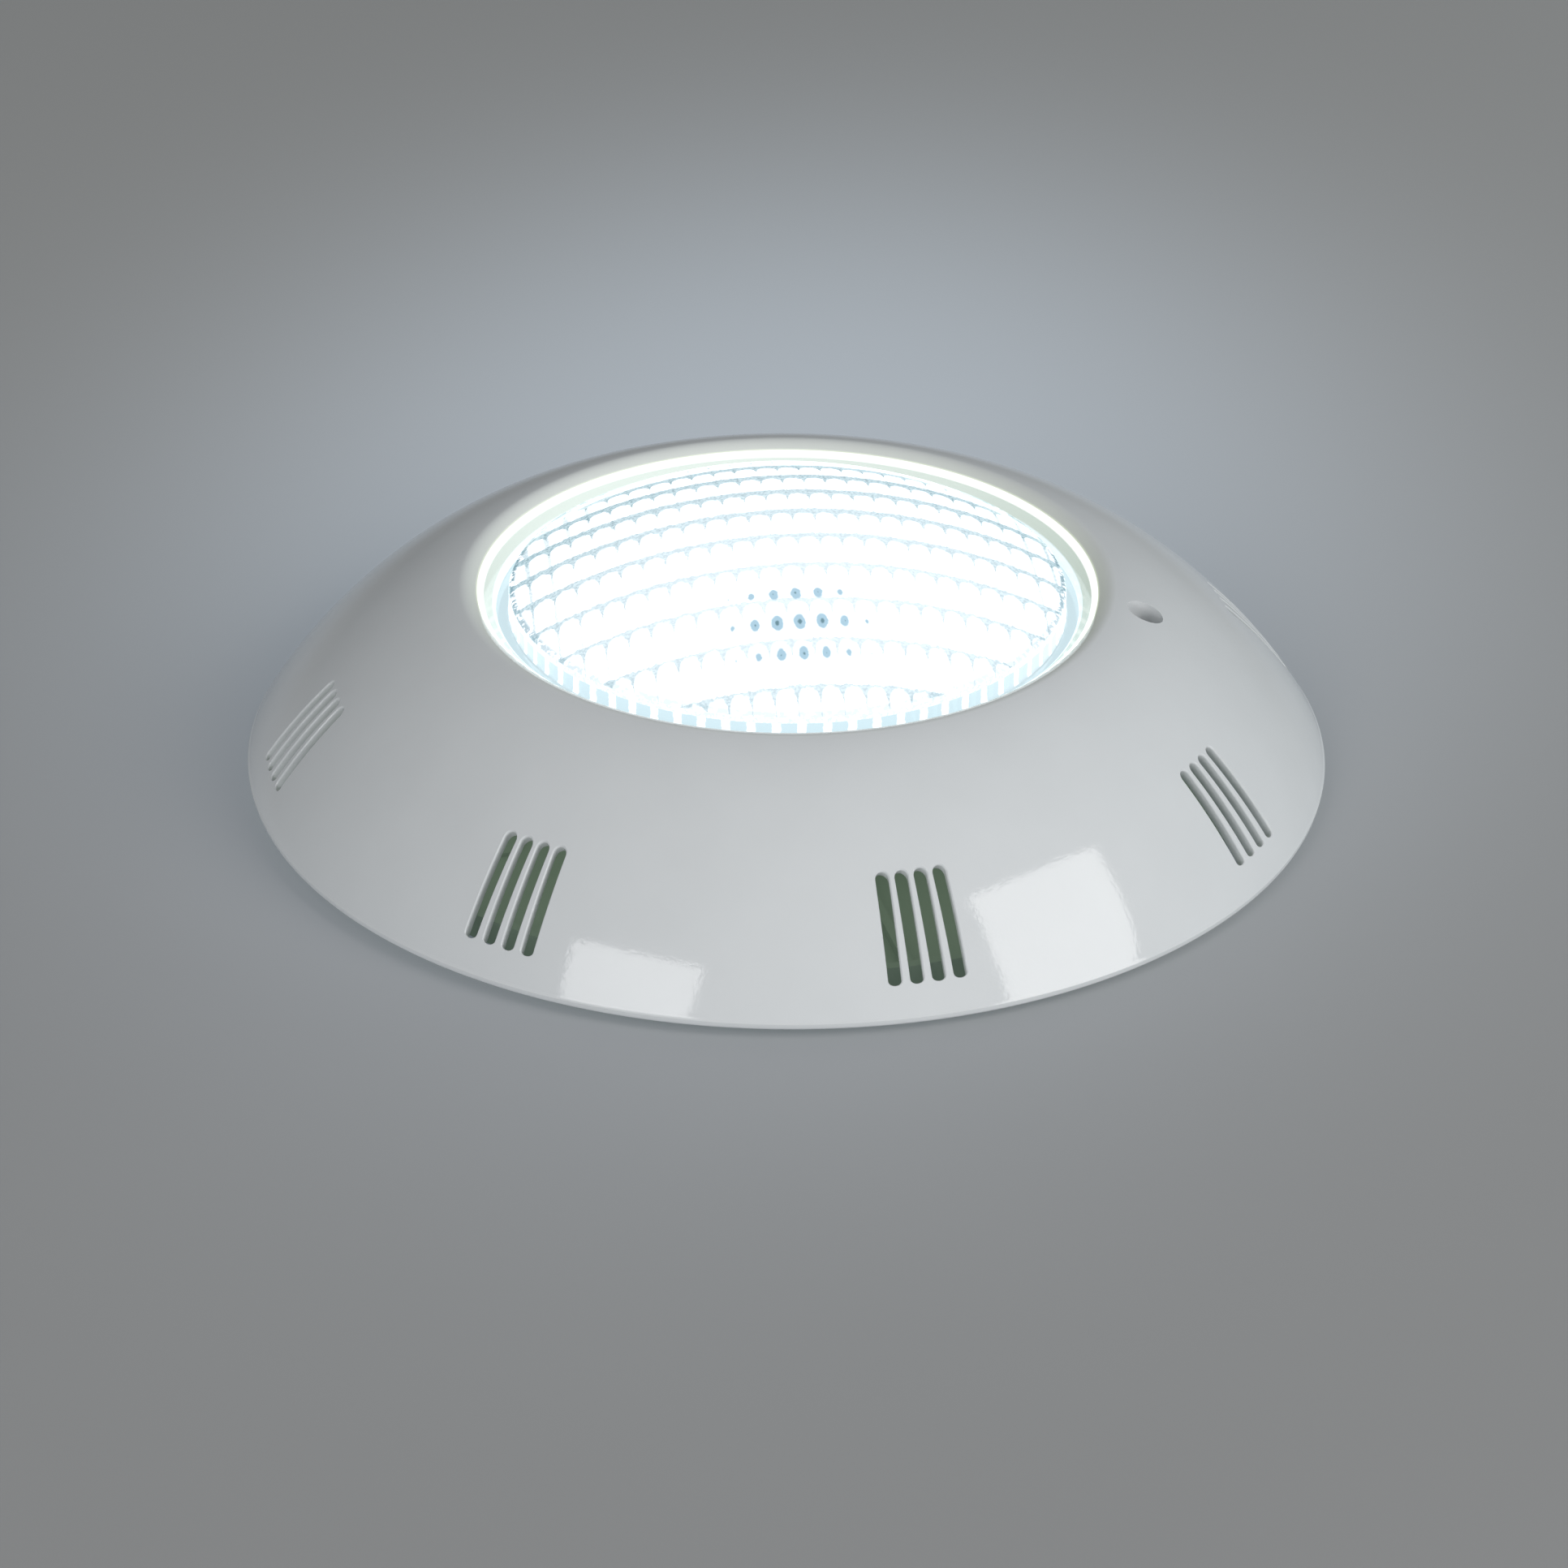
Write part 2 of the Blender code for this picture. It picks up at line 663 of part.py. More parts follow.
def dome_line(offset=0.0, steps=6):
    """The lens's arc from its edge to the axis, or the same arc inside it."""
    rise = DOME_TOP - DOME_BASE
    sphere = (DOME_RADIUS ** 2 + rise ** 2) / (2 * rise)
    centre = DOME_TOP - sphere
    edge_angle = math.asin(DOME_RADIUS / sphere)
    line = []
    for i in range(steps + 1):
        angle = edge_angle * (1 - i / steps)
        radius = (sphere - offset) * math.sin(angle)
        line.append((radius, centre + (sphere - offset) * math.cos(angle)))
    return line


def prismatic_lens(parent):
    """Domed lens with an upright skirt and the flange that the cover's lip holds."""
    inner_radius = SKIRT_RADIUS - LENS_WALL
    profile = [
        (inner_radius, LENS_FLANGE_BOTTOM), (FLANGE_RADIUS, LENS_FLANGE_BOTTOM),
        (FLANGE_RADIUS, LENS_FLANGE_TOP), (SKIRT_RADIUS + 0.6, LENS_FLANGE_TOP),
        (SKIRT_RADIUS, LENS_FLANGE_TOP + 0.6), (SKIRT_RADIUS, SKIRT_TOP),
    ]
    profile += dome_line()
    profile += list(reversed(dome_line(LENS_WALL)))
    profile[-1] = (inner_radius, profile[-1][1])
    made = plain_object("prismatic_lens", turned(profile, ROUND_MEDIUM))
    holes = []
    for angle in lamp_screw_angles():
        hole = disc(SMALL_SCREW + GAP, LENS_FLANGE_BOTTOM - 2.0, LENS_FLANGE_TOP - 0.6, ROUND_SMALL)
        holes.append(moved(hole, at_angle(LAMP_SCREW_CIRCLE, angle)))
    combine(made, "DIFFERENCE", group(holes))
    return finish(made, clear_polycarbonate(), parent)


def lens_gasket(parent):
    """Seal in the housing flange's groove."""
    mesh = ring(78.8, 81.2, 39.9, HOUSING_FLANGE_TOP, ROUND_MEDIUM)
    return add_piece("lens_gasket", mesh, black_rubber(), parent)


def reflector(parent):
    """White cone between the circuit board and the lens's skirt."""
    profile = [
        (64.9, BOARD_BOTTOM), (69.6, BOARD_BOTTOM), (69.6, 47.0), (68.8, 47.0),
        (66.6, BOARD_TOP + 1.5), (64.9, BOARD_TOP + 0.4),
    ]
    return add_piece("reflector", turned(profile, ROUND_PLATE), white_reflector(), parent)


def lamp_housing(parent):
    """Rear bowl of the lamp, with the gasket groove, the ledge and the gland's pad."""
    inner_radius = HOUSING_RADIUS - HOUSING_WALL
    floor = HOUSING_BOTTOM + HOUSING_WALL
    profile = [(0.0, HOUSING_BOTTOM)]
    for i in range(4):
        angle = math.radians(-90.0 + 30.0 * i)
        profile.append((
            HOUSING_RADIUS - HOUSING_CORNER * (1 - math.cos(angle)),
            HOUSING_BOTTOM + HOUSING_CORNER * (1 + math.sin(angle)),
        ))
    profile += [
        (HOUSING_RADIUS, HOUSING_FLANGE_BOTTOM), (FLANGE_RADIUS, HOUSING_FLANGE_BOTTOM),
        (FLANGE_RADIUS, HOUSING_FLANGE_TOP), (81.5, HOUSING_FLANGE_TOP), (81.5, 39.6),
        (78.5, 39.6), (78.5, HOUSING_FLANGE_TOP), (inner_radius, HOUSING_FLANGE_TOP),
        (inner_radius, LEDGE_HEIGHT), (LEDGE_RADIUS, LEDGE_HEIGHT), (LEDGE_RADIUS, floor + 3.0),
        (LEDGE_RADIUS - 3.0, floor), (0.0, floor),
    ]
    made = plain_object("lamp_housing", turned(profile, ROUND_MEDIUM))
    sides = (-PAD_HALF_WIDTH, PAD_HALF_WIDTH)
    added = [box(sides, (-PAD_FACE, -PAD_INNER), (HOUSING_BOTTOM + 1.0, PAD_TOP))]
    for x in (-DRIVER_POST_X, DRIVER_POST_X):
        added.append(moved(disc(3.2, floor - 1.0, DRIVER_BOTTOM - GAP, ROUND_BOSS), (x, 0, 0)))
    for i in range(4):
        stiffener = box((20.0, 62.0), (-1.0, 1.0), (floor - 1.0, floor + 2.0))
        added.append(moved(stiffener, turn_deg=45.0 + 90.0 * i))
    combine(made, "UNION", group(added))
    bore = disc(GLAND_THREAD + GAP, 55.0, 90.0, ROUND_BORE)
    cuts = [laid_along_minus_y(bore, GLAND_Z)]
    for x in (-DRIVER_POST_X, DRIVER_POST_X):
        cuts.append(moved(disc(SMALL_SCREW + GAP, floor - 0.6, 30.0, ROUND_SMALL), (x, 0, 0)))
    for angle in lamp_screw_angles():
        hole = disc(SMALL_SCREW + GAP, HOUSING_FLANGE_BOTTOM - 2.0, HOUSING_FLANGE_TOP + 2.0, ROUND_SMALL)
        cuts.append(moved(hole, at_angle(LAMP_SCREW_CIRCLE, angle)))
    combine(made, "DIFFERENCE", group(cuts))
    return finish(made, dark_green_abs(), parent)


def heat_spreader(parent):
    """Aluminium disc that carries the LED board, drilled for its screws and the leads."""
    mesh = ring(LEAD_HOLE, SPREADER_RADIUS, SPREADER_BOTTOM, SPREADER_TOP, ROUND_MEDIUM)
    made = plain_object("heat_spreader", mesh)
    holes = []
    for x in (-BOARD_SCREW_X, BOARD_SCREW_X):
        holes.append(moved(disc(SMALL_SCREW + GAP, 20.0, 40.0, ROUND_SMALL), (x, 0, 0)))
    combine(made, "DIFFERENCE", group(holes))
    return finish(made, aluminium(), parent)


def led_board(parent):
    """Metal-core circuit board under the LEDs."""
    mesh = ring(LEAD_HOLE, BOARD_RADIUS, BOARD_BOTTOM, BOARD_TOP, ROUND_MEDIUM)
    made = plain_object("led_board", mesh)
    holes = []
    for x in (-BOARD_SCREW_X, BOARD_SCREW_X):
        holes.append(moved(disc(SMALL_SCREW + GAP, 30.0, 40.0, ROUND_SMALL), (x, 0, 0)))
    combine(made, "DIFFERENCE", group(holes))
    return finish(made, white_solder_mask(), parent)


def board_screws(parent):
    """Screws that clamp the LED board to the heat spreader."""
    for number, x in enumerate((-BOARD_SCREW_X, BOARD_SCREW_X), start=1):
        place = (x, 0, BOARD_TOP + GAP)
        screw = moved(small_screw(5.2), place)
        add_piece(f"board_screw_{number}", screw, stainless_steel(), parent, place)


def leds(parent):
    """LED packages in two rings, each a low square block with bevelled top edges."""
    number = 1
    half = LED_SIZE / 2
    for count, radius, first in LED_RINGS:
        for i in range(count):
            angle = first + 360.0 * i / count
            place = at_angle(radius, angle, BOARD_TOP + GAP)
            block = box((-half, half), (-half, half), (0.0, LED_HEIGHT))
            top = [edge for edge in block.edges
                   if all(corner.co.z > LED_HEIGHT / 2 for corner in edge.verts)]
            bmesh.ops.bevel(block, geom=top, offset=0.8, segments=1, affect="EDGES")
            add_piece(f"led_{number}", moved(block, place, angle), lit_led(), parent, place)
            number += 1


# ---------------------------------------------------------------- driver

def driver_board(parent):
    """Round circuit board that turns the supply into the LEDs' current."""
    made = plain_object("driver_board", disc(DRIVER_RADIUS, DRIVER_BOTTOM, DRIVER_TOP, ROUND_PLATE))
    holes = []
    for x in (-DRIVER_POST_X, DRIVER_POST_X):
        holes.append(moved(disc(SMALL_SCREW + GAP, 10.0, 30.0, ROUND_SMALL), (x, 0, 0)))
    combine(made, "DIFFERENCE", group(holes))
    return finish(made, green_circuit_board(), parent)


def driver_parts(parent):
    """Screws and the large components on the driver board."""
    base = DRIVER_TOP + GAP
    for number, x in enumerate((-DRIVER_POST_X, DRIVER_POST_X), start=1):
        place = (x, 0, base)
        screw = moved(small_screw(6.0), place)
        add_piece(f"driver_screw_{number}", screw, stainless_steel(), parent, place)
    can = [(0.0, base), (4.6, base), (5.0, base + 0.5), (5.0, 27.6), (4.5, 28.1), (0.0, 28.1)]
    place = (-16.0, 16.0, 0.0)
    add_piece("filter_capacitor", moved(turned(can, ROUND_BORE), place), black_component(), parent, place)
    place = (17.0, 17.0, 0.0)
    coil = turned([
        (3.6, base + 1.2), (4.8, base), (7.6, base), (8.8, base + 1.2), (8.8, base + 5.0),
        (7.6, base + 6.2), (4.8, base + 6.2), (3.6, base + 5.0),
    ], ROUND_BORE)
    add_piece("choke", moved(coil, place), copper_winding(), parent, place)
    rectifier = box((-24.0, -14.0), (-14.0, -6.0), (base, base + 2.6))
    add_piece("bridge_rectifier", rectifier, black_component(), parent)
    made = plain_object("terminal_block", box((-8.0, 8.0), (-34.0, -25.0), (base, base + 8.4)))
    entries = []
    for x in (-4.0, 4.0):
        entries.append(box((x - 2.2, x + 2.2), (-40.0, -28.5), (base + 1.4, base + 4.6)))
        entries.append(moved(disc(1.9, base + 6.6, 40.0, ROUND_SMALL), (x, -29.5, 0)))
    combine(made, "DIFFERENCE", group(entries))
    finish(made, green_terminal(), parent)


def lead_curve(name, route, look, parent):
    """An insulated lead: a round tube along a smooth curve through the route's points."""
    samples = []
    per_span = 3
    padded = [route[0]] + list(route) + [route[-1]]
    for a, b, c, d in zip(padded, padded[1:], padded[2:], padded[3:]):
        for i in range(per_span):
            t = i / per_span
            samples.append(0.5 * (
                2 * Vector(b) + (Vector(c) - Vector(a)) * t
                + (2 * Vector(a) - 5 * Vector(b) + 4 * Vector(c) - Vector(d)) * t ** 2
                + (3 * Vector(b) - Vector(a) - 3 * Vector(c) + Vector(d)) * t ** 3
            ))
    samples.append(Vector(route[-1]))
    curve = bpy.data.curves.new(name, "CURVE")
    curve.dimensions = "3D"
    curve.bevel_depth = 0.8 * MM
    curve.bevel_resolution = 2
    curve.use_fill_caps = True
    spline = curve.splines.new("POLY")
    spline.points.add(len(samples) - 1)
    for point, sample in zip(spline.points, samples):
        point.co = (*(sample * MM - parent.location), 1.0)
    curve.materials.append(look)
    made = bpy.data.objects.new(name, curve)
    made.parent = parent
    bpy.context.scene.collection.objects.link(made)


def leads(parent):
    """The two leads from the driver board up through the spreader to the LED board."""
    start = DRIVER_TOP + GAP
    end = BOARD_TOP + GAP + 0.8
    for name, side, look in (
        ("lead_red", 1, red_insulation()), ("lead_black", -1, black_insulation()),
    ):
        route = [
            (side * 7.0, -8.0, start), (side * 7.0, -8.0, start + 3.0), (side * 4.0, -4.0, start + 6.5),
            (side * 1.6, 0.0, start + 10.5), (side * 1.6, 0.0, BOARD_BOTTOM), (side * 2.0, 0.0, end + 0.6),
            (side * 4.5, 0.0, end + 1.4), (side * 8.5, 0.0, end),
        ]
        lead_curve(name, route, look, parent)


# ---------------------------------------------------------------- cable gland

def gland(body_parent, washer_parent, nut_parent):
    """Cable gland in the housing's pad; its mesh Z is the distance out along -Y."""
    hex_start = PAD_FACE + GAP + GLAND_WASHER + GAP
    hex_end = hex_start + GLAND_HEX
    body_end = hex_end + GLAND_SLEEVE
    seat = hex_end + 2.0
    nut_start = hex_end + 0.6
    mouth = body_end + 3.4

    body = plain_object("gland_body", laid_along_minus_y(turned([
        (GLAND_BORE, 57.0), (GLAND_THREAD, 57.0), (GLAND_THREAD, hex_start + 0.5),
        (7.2, hex_start + 0.5), (7.2, hex_end - 0.5),
        (GLAND_SLEEVE_RADIUS, hex_end - 0.5), (GLAND_SLEEVE_RADIUS, body_end),
        (5.0, body_end), (5.0, seat), (GLAND_BORE, seat),
    ], ROUND_BORE), GLAND_Z))
    flats = prism(hexagon(GLAND_FLATS), hex_start, hex_end)
    flats_object = plain_object("flats", laid_along_minus_y(flats, GLAND_Z))
    combine(flats_object, "DIFFERENCE",
            laid_along_minus_y(disc(7.0, hex_start - 3.0, hex_end + 3.0, ROUND_BORE), GLAND_Z))
    combine(body, "UNION", taken_back(flats_object))
    finish(body, grey_abs(), body_parent, (0, 0, GLAND_Z))

    seal = ring(GLAND_THREAD + GAP, 7.3, PAD_FACE + GAP, PAD_FACE + GAP + GLAND_WASHER, ROUND_BORE)
    add_piece("gland_oring", laid_along_minus_y(seal, GLAND_Z), black_rubber(), body_parent)

    locknut = plain_object("gland_locknut", laid_along_minus_y(
        prism(hexagon(GLAND_FLATS), PAD_INNER - GAP - 3.5, PAD_INNER - GAP), GLAND_Z))
    combine(locknut, "DIFFERENCE",
            laid_along_minus_y(disc(GLAND_THREAD + GAP, 50.0, 70.0, ROUND_BORE), GLAND_Z))
    finish(locknut, grey_abs(), body_parent)

    bush = turned([
        (3.3, seat + GAP), (4.7, seat + GAP), (4.7, body_end + 0.6), (4.1, body_end + 1.0),
        (3.3, body_end + 1.0),
    ], ROUND_BORE)
    add_piece("gland_seal", laid_along_minus_y(bush, GLAND_Z), black_rubber(), body_parent)

    slip = ring(3.5, 6.2, body_end + 1.3, body_end + 2.1, ROUND_BORE)
    axis_point = (0, 0, GLAND_Z)
    add_piece("gland_slip_washer", laid_along_minus_y(slip, GLAND_Z), natural_nylon(),
              washer_parent, axis_point)

    bore = GLAND_SLEEVE_RADIUS + GAP
    nut = plain_object("gland_nut", laid_along_minus_y(turned([
        (bore, nut_start), (GLAND_NUT_RADIUS, nut_start), (GLAND_NUT_RADIUS, mouth - 1.5),
        (6.4, mouth + 1.4), (GLAND_MOUTH, mouth + 1.4), (GLAND_MOUTH, mouth - 1.0),
        (bore, mouth - 1.0),
    ], ROUND_BORE), GLAND_Z))
    grips = []
    for i in range(8):
        grip = box((7.6, 8.8), (-0.9, 0.9), (nut_start + 0.6, mouth - 2.2))
        grips.append(laid_along_minus_y(moved(grip, turn_deg=45.0 * i), GLAND_Z))
    combine(nut, "UNION", group(grips))
    finish(nut, grey_abs(), nut_parent, axis_point)


# ---------------------------------------------------------------- assembly

def build():
    for old in list(bpy.data.objects):
        bpy.data.objects.remove(old)
    bracket = add_empty("bracket_frame", (0, 0, 0))
    cover = add_empty("cover_hinge", (PIN_X, 0, PIN_Z))
    travel = add_empty("lock_screw_travel", (SCREW_RADIUS, 0, 0))
    turn = add_empty("lock_screw_turn", (SCREW_RADIUS, 0, 0))
    gland_travel = add_empty("gland_travel", (0, 0, GLAND_Z))
    gland_turn = add_empty("gland_turn", (0, 0, GLAND_Z))
    clips = [
        add_empty(f"clip_pivot_{number}", at_angle(CLIP_CIRCLE, angle))
        for number, angle in enumerate(clip_angles(), start=1)
    ]
    wall_bracket(bracket)
    bracket_insert(bracket)
    front_cover(cover)
    hinge_pin(cover)
    lock_screw(travel, turn)
    prismatic_lens(cover)
    lens_gasket(cover)
    reflector(cover)
    lamp_housing(cover)
    lamp_screws(cover)
    heat_spreader(cover)
    led_board(cover)
    board_screws(cover)
    leds(cover)
    driver_board(cover)
    driver_parts(cover)
    leads(cover)
    lamp_clips(clips, cover)
    gland(cover, gland_travel, gland_turn)


build()
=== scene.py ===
"""Looks for the round underwater pool light: fine shells, prismatic lens, materials and studio.

Sizes are in millimetres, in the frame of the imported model: +Z is the direction of the light,
z = 0 is the wall bracket's back, the lock screw is on +X and the hinge pin on -X.
"""

import json
import math

import bmesh
import bpy
from mathutils import Matrix, Vector

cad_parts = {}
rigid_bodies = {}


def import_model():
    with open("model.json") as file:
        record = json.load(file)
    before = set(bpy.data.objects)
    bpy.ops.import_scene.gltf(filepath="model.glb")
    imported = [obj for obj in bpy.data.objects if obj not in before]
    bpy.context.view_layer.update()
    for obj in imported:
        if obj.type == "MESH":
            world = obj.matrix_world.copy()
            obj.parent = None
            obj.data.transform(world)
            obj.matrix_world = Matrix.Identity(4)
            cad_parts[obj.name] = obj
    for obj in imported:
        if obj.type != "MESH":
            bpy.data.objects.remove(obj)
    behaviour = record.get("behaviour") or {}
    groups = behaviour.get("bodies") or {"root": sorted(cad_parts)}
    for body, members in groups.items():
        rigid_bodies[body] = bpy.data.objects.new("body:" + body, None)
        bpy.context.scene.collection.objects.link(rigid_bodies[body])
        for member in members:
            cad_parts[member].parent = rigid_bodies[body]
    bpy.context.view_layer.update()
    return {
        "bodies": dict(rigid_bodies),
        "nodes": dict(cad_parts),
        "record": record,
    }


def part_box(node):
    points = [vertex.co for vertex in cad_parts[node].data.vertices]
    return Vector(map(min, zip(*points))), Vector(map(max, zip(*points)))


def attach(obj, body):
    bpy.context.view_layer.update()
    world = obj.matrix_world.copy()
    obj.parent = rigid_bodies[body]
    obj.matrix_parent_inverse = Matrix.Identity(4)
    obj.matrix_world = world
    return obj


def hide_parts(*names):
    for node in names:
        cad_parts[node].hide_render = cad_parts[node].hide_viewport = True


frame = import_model()

MM = 0.001


def box_mm(node):
    """A CAD node's lowest and highest corner, in millimetres."""
    low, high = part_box(node)
    return low / MM, high / MM


# Sizes read from the frame
COVER_LOW, COVER_HIGH = box_mm("front_cover")
LENS_LOW, LENS_HIGH = box_mm("prismatic_lens")
SCREW_LOW, SCREW_HIGH = box_mm("lock_screw")
PIN_LOW, PIN_HIGH = box_mm("hinge_pin")
CLIP_SCREWS = [box_mm(f"clip_screw_{number}") for number in (1, 2, 3)]

COVER_RADIUS = COVER_HIGH.x
RIM_HEIGHT = COVER_LOW.z
SCREW_RADIUS = (SCREW_LOW.x + SCREW_HIGH.x) / 2
PIN_X = (PIN_LOW.x + PIN_HIGH.x) / 2
PIN_Z = (PIN_LOW.z + PIN_HIGH.z) / 2
DOME_TOP = LENS_HIGH.z
FLANGE_RADIUS = LENS_HIGH.x
FLANGE_BOTTOM = LENS_LOW.z

# Cover
COVER_WALL = 3.0
RIM_ROUNDING = 0.8
RIM_BAND = 2.0
RIM_BAND_STEP = 0.35
SHOULDER = (87.2, RIM_HEIGHT + 49.7)
SHOULDER_HANDLE = (85.0, RIM_HEIGHT + 50.2)
OPENING = (82.2, RIM_HEIGHT + 47.9)
LIP_RADIUS = 77.5
LIP_HANDLE = (LIP_RADIUS + 0.7, 47.1)
LIP_EDGE = (LIP_RADIUS, 46.0)
LIP_BOTTOM = 44.5
HOLLOW_CORNER = (83.0, 47.2)
HOLLOW_NECK = (80.6, LIP_BOTTOM)
COVER_SEGMENTS = 256
COVER_STEPS = 48
SHOULDER_STEPS = 8
LIP_STEPS = 5
OVERCUT = 8.0
FAR_ABOVE = 70.0

# Bosses, ears and holes in the cover
SCREW_BOSS_RADIUS = 7.0
SCREW_BOSS_BOTTOM = 11.8
COUNTERBORE_RADIUS = 4.8
COUNTERBORE_BELOW_HEAD = 4.9
SCREW_SEAT_THICKNESS = 3.0
SCREW_SHAFT_WAY = 2.8
RETAINER_WAY = 4.6
RETAINER_WAY_BOTTOM = 5.0
CLIP_BOSS_RADIUS = 4.5
CLIP_BOSS_BOTTOM = 37.9
CLIP_SCREW_HOLE = (1.8, 30.0, 45.5)
EARS_Y = ((-12.0, -9.0), (9.0, 12.0))
EARS_X = (PIN_X - 16.0, PIN_X + 3.5)
EARS_Z = (3.0, PIN_Z + 4.0)
PIN_HOLE = (1.8, -14.0, 14.0)

# Water slots
SLOT_GROUPS = 8
SLOTS_PER_GROUP = 4
SLOT_STEP_DEG = 2.27
SLOT_WIDTH = 3.3
SLOT_TOP_Z = 32.4
SLOT_FOOT_Z = 11.2
SLOT_CUT_DEG = 56.0
SLOT_ROUNDING = 0.55
SLOT_CUT_DEPTH = 5.0
SLOT_DRAFT = 0.65
SLOT_FLARE = SLOT_ROUNDING * 0.5 + 0.4
SLOT_FLARE_DEPTHS = (-0.25, -4.0)
SLOT_LINE_STEPS = 24
SLOT_END_STEPS = 12
SLOT_SIDE_STEPS = 10

# Lens
LENS_WALL = 2.6
FLANGE_TOP = 44.2
FLANGE_CHAMFER = 0.4
SKIRT_RADIUS = 74.0
SKIRT_TOP = 50.2
DOME_RADIUS = 73.6
DOME_BASE = 50.8
DOME_RISE = DOME_TOP - DOME_BASE
DOME_SPHERE = (DOME_RADIUS ** 2 + DOME_RISE ** 2) / (2 * DOME_RISE)
ROW_PITCH = 13.85
ROW_PHASE = -10.2
COLUMN_PITCH = 5.8
COLUMN_PHASE = 1.1
ROW_TURN_DEG = 14.2
FLUTE_DEPTH = 0.6
STEP_DEPTH = 0.7
STEP_SHARE = 0.06
THINNEST_PRISM = LENS_WALL - 0.9
POINTS_PER_COLUMN = 8
POINTS_PER_ROW = 6
PRISM_FIELD_REACH = 80.0
PRISM_FIELD_FLOOR = -40.0
SKIRT_FLUTES = 72
SKIRT_FLUTE_DEPTH = 0.7
SKIRT_PHASE = 0.2
POINTS_PER_FLUTE = 6
SKIRT_BAR_Z = (35.0, 90.0)
LENS_SEGMENTS = 192
DOME_STEPS = 24
LAMP_SCREW_HOLE = 1.55
LAMP_SCREW_HOLE_TOP = 43.6

# Light and shade painted on the lens's prisms, in shares of a column or a row
WOBBLE = 0.16
ARCH_REACH = 0.13
TOOTH_REACH = 0.26
BAND_REACH_FRONT = 0.05
BAND_REACH_BACK = 0.35
SEAM_EDGES = (0.90, 1.03)
SEAM_WIDENING = 0.35
SEAM_STRENGTH = 0.75
TEAL_STRENGTH = 0.40
TEAL_MORE_AT_BACK = 0.65
TEAL_MORE_AT_SIDES = 0.30
DARK_EDGE_WIDENING = 4.5
RIB_EDGES = (0.30, 0.36)

# Images of the board's dark middle in the prisms
DOT_MIDDLE = (-2.2, -46.2)
DOT_SPREAD = (27.0, 26.0)
DOT_PITCH = 10.3
DOT_RADIUS = 1.8
DOT_SQUASH = 0.6

# The lamp's light and shade painted on the opening, in the prisms and on the skirt and flange
LIT_EDGE = (1.0, 1.05, 0.98)
LIT_CONE = (0.24, 0.31, 0.24)
LIT_FRINGE = (0.30, 0.34, 0.20)
LIT_WHITE = (1.15, 1.2, 1.25)
PALE_TEAL = (0.52, 0.67, 0.72)
EDGE_TEAL = (0.19, 0.32, 0.38)
DARK_TEAL = (0.10, 0.20, 0.24)
DOT_BLUE = (0.38, 0.56, 0.68)
SKIRT_BLUE = (0.60, 0.75, 0.81)
SKIRT_PALE = (0.70, 0.82, 0.87)
FLANGE_WHITE = (0.52, 0.64, 0.68)
HALO_REACH = 6.0
HALO_SHARE = 0.28

# Camera, in metres and degrees
CAMERA_DISTANCE = 1.2457
CAMERA_AZIMUTH = 8.0
CAMERA_ELEVATION = 29.03
CAMERA_LENS = 105.6
CAMERA_ROLL = 0.37
CAMERA_AIM = (-0.0006, -0.0001, -0.0107)

# Studio: lights in metres and degrees, the floor and the lamp's glow on it in millimetres
WORLD_BRIGHT_AZIMUTH = 60.0
WORLD_STRENGTHS = (0.16, 0.40)
SOFTBOX_DISTANCE = 2.6
UNDER_COVER_SIZE = 0.255
UNDER_COVER_HEIGHT = 0.018
UNDER_COVER_WATTS = 0.07
PAPER_GLOW = (0.20, 0.24, 0.285)
PAPER_GLOW_MIDDLE = (-20.0, 140.0)
PAPER_GLOW_REACH = (185.0, 275.0)
PAPER_GLOW_POWER = 2.4
FLOOR_SIZE = 3000.0
FLOOR_DROP = 0.3


# ---------------------------------------------------------------- meshes

def turned(profile, steps, closed=True):
    """A surface turned about Z from (radius, height) points."""
    mesh = bmesh.new()
    points = [mesh.verts.new((radius, 0.0, height)) for radius, height in profile]
    edges = [mesh.edges.new(pair) for pair in zip(points, points[1:])]
    if closed:
        edges.append(mesh.edges.new((points[-1], points[0])))
    bmesh.ops.spin(
        mesh, geom=points + edges, cent=(0, 0, 0), axis=(0, 0, 1),
        angle=2 * math.pi, steps=steps, use_merge=True, use_duplicate=False,
    )
    bmesh.ops.remove_doubles(mesh, verts=mesh.verts, dist=0.0005)
    bmesh.ops.recalc_face_normals(mesh, faces=mesh.faces)
    return mesh


def disc(radius, bottom, top, steps=48):
    """A closed round bar on Z."""
    return turned([(0.0, bottom), (radius, bottom), (radius, top), (0.0, top)], steps, closed=False)


def block(x_range, y_range, z_range):
    """A closed rectangular block."""
    mesh = bmesh.new()
    bmesh.ops.create_cube(mesh, size=1.0)
    size = [high - low for low, high in (x_range, y_range, z_range)]
    centre = [(high + low) / 2 for low, high in (x_range, y_range, z_range)]
    bmesh.ops.scale(mesh, vec=size, verts=mesh.verts)
    bmesh.ops.translate(mesh, vec=centre, verts=mesh.verts)
    return mesh


def lofted(rings):
    """A closed solid through rings of equal point counts, capped at both ends."""
    mesh = bmesh.new()
    loops = [[mesh.verts.new(point) for point in ring] for ring in rings]
    count = len(rings[0])
    for below, above in zip(loops, loops[1:]):
        for i in range(count):
            j = (i + 1) % count
            mesh.faces.new((below[i], below[j], above[j], above[i]))
    mesh.faces.new(list(reversed(loops[0])))
    mesh.faces.new(loops[-1])
    bmesh.ops.recalc_face_normals(mesh, faces=mesh.faces)
    return mesh


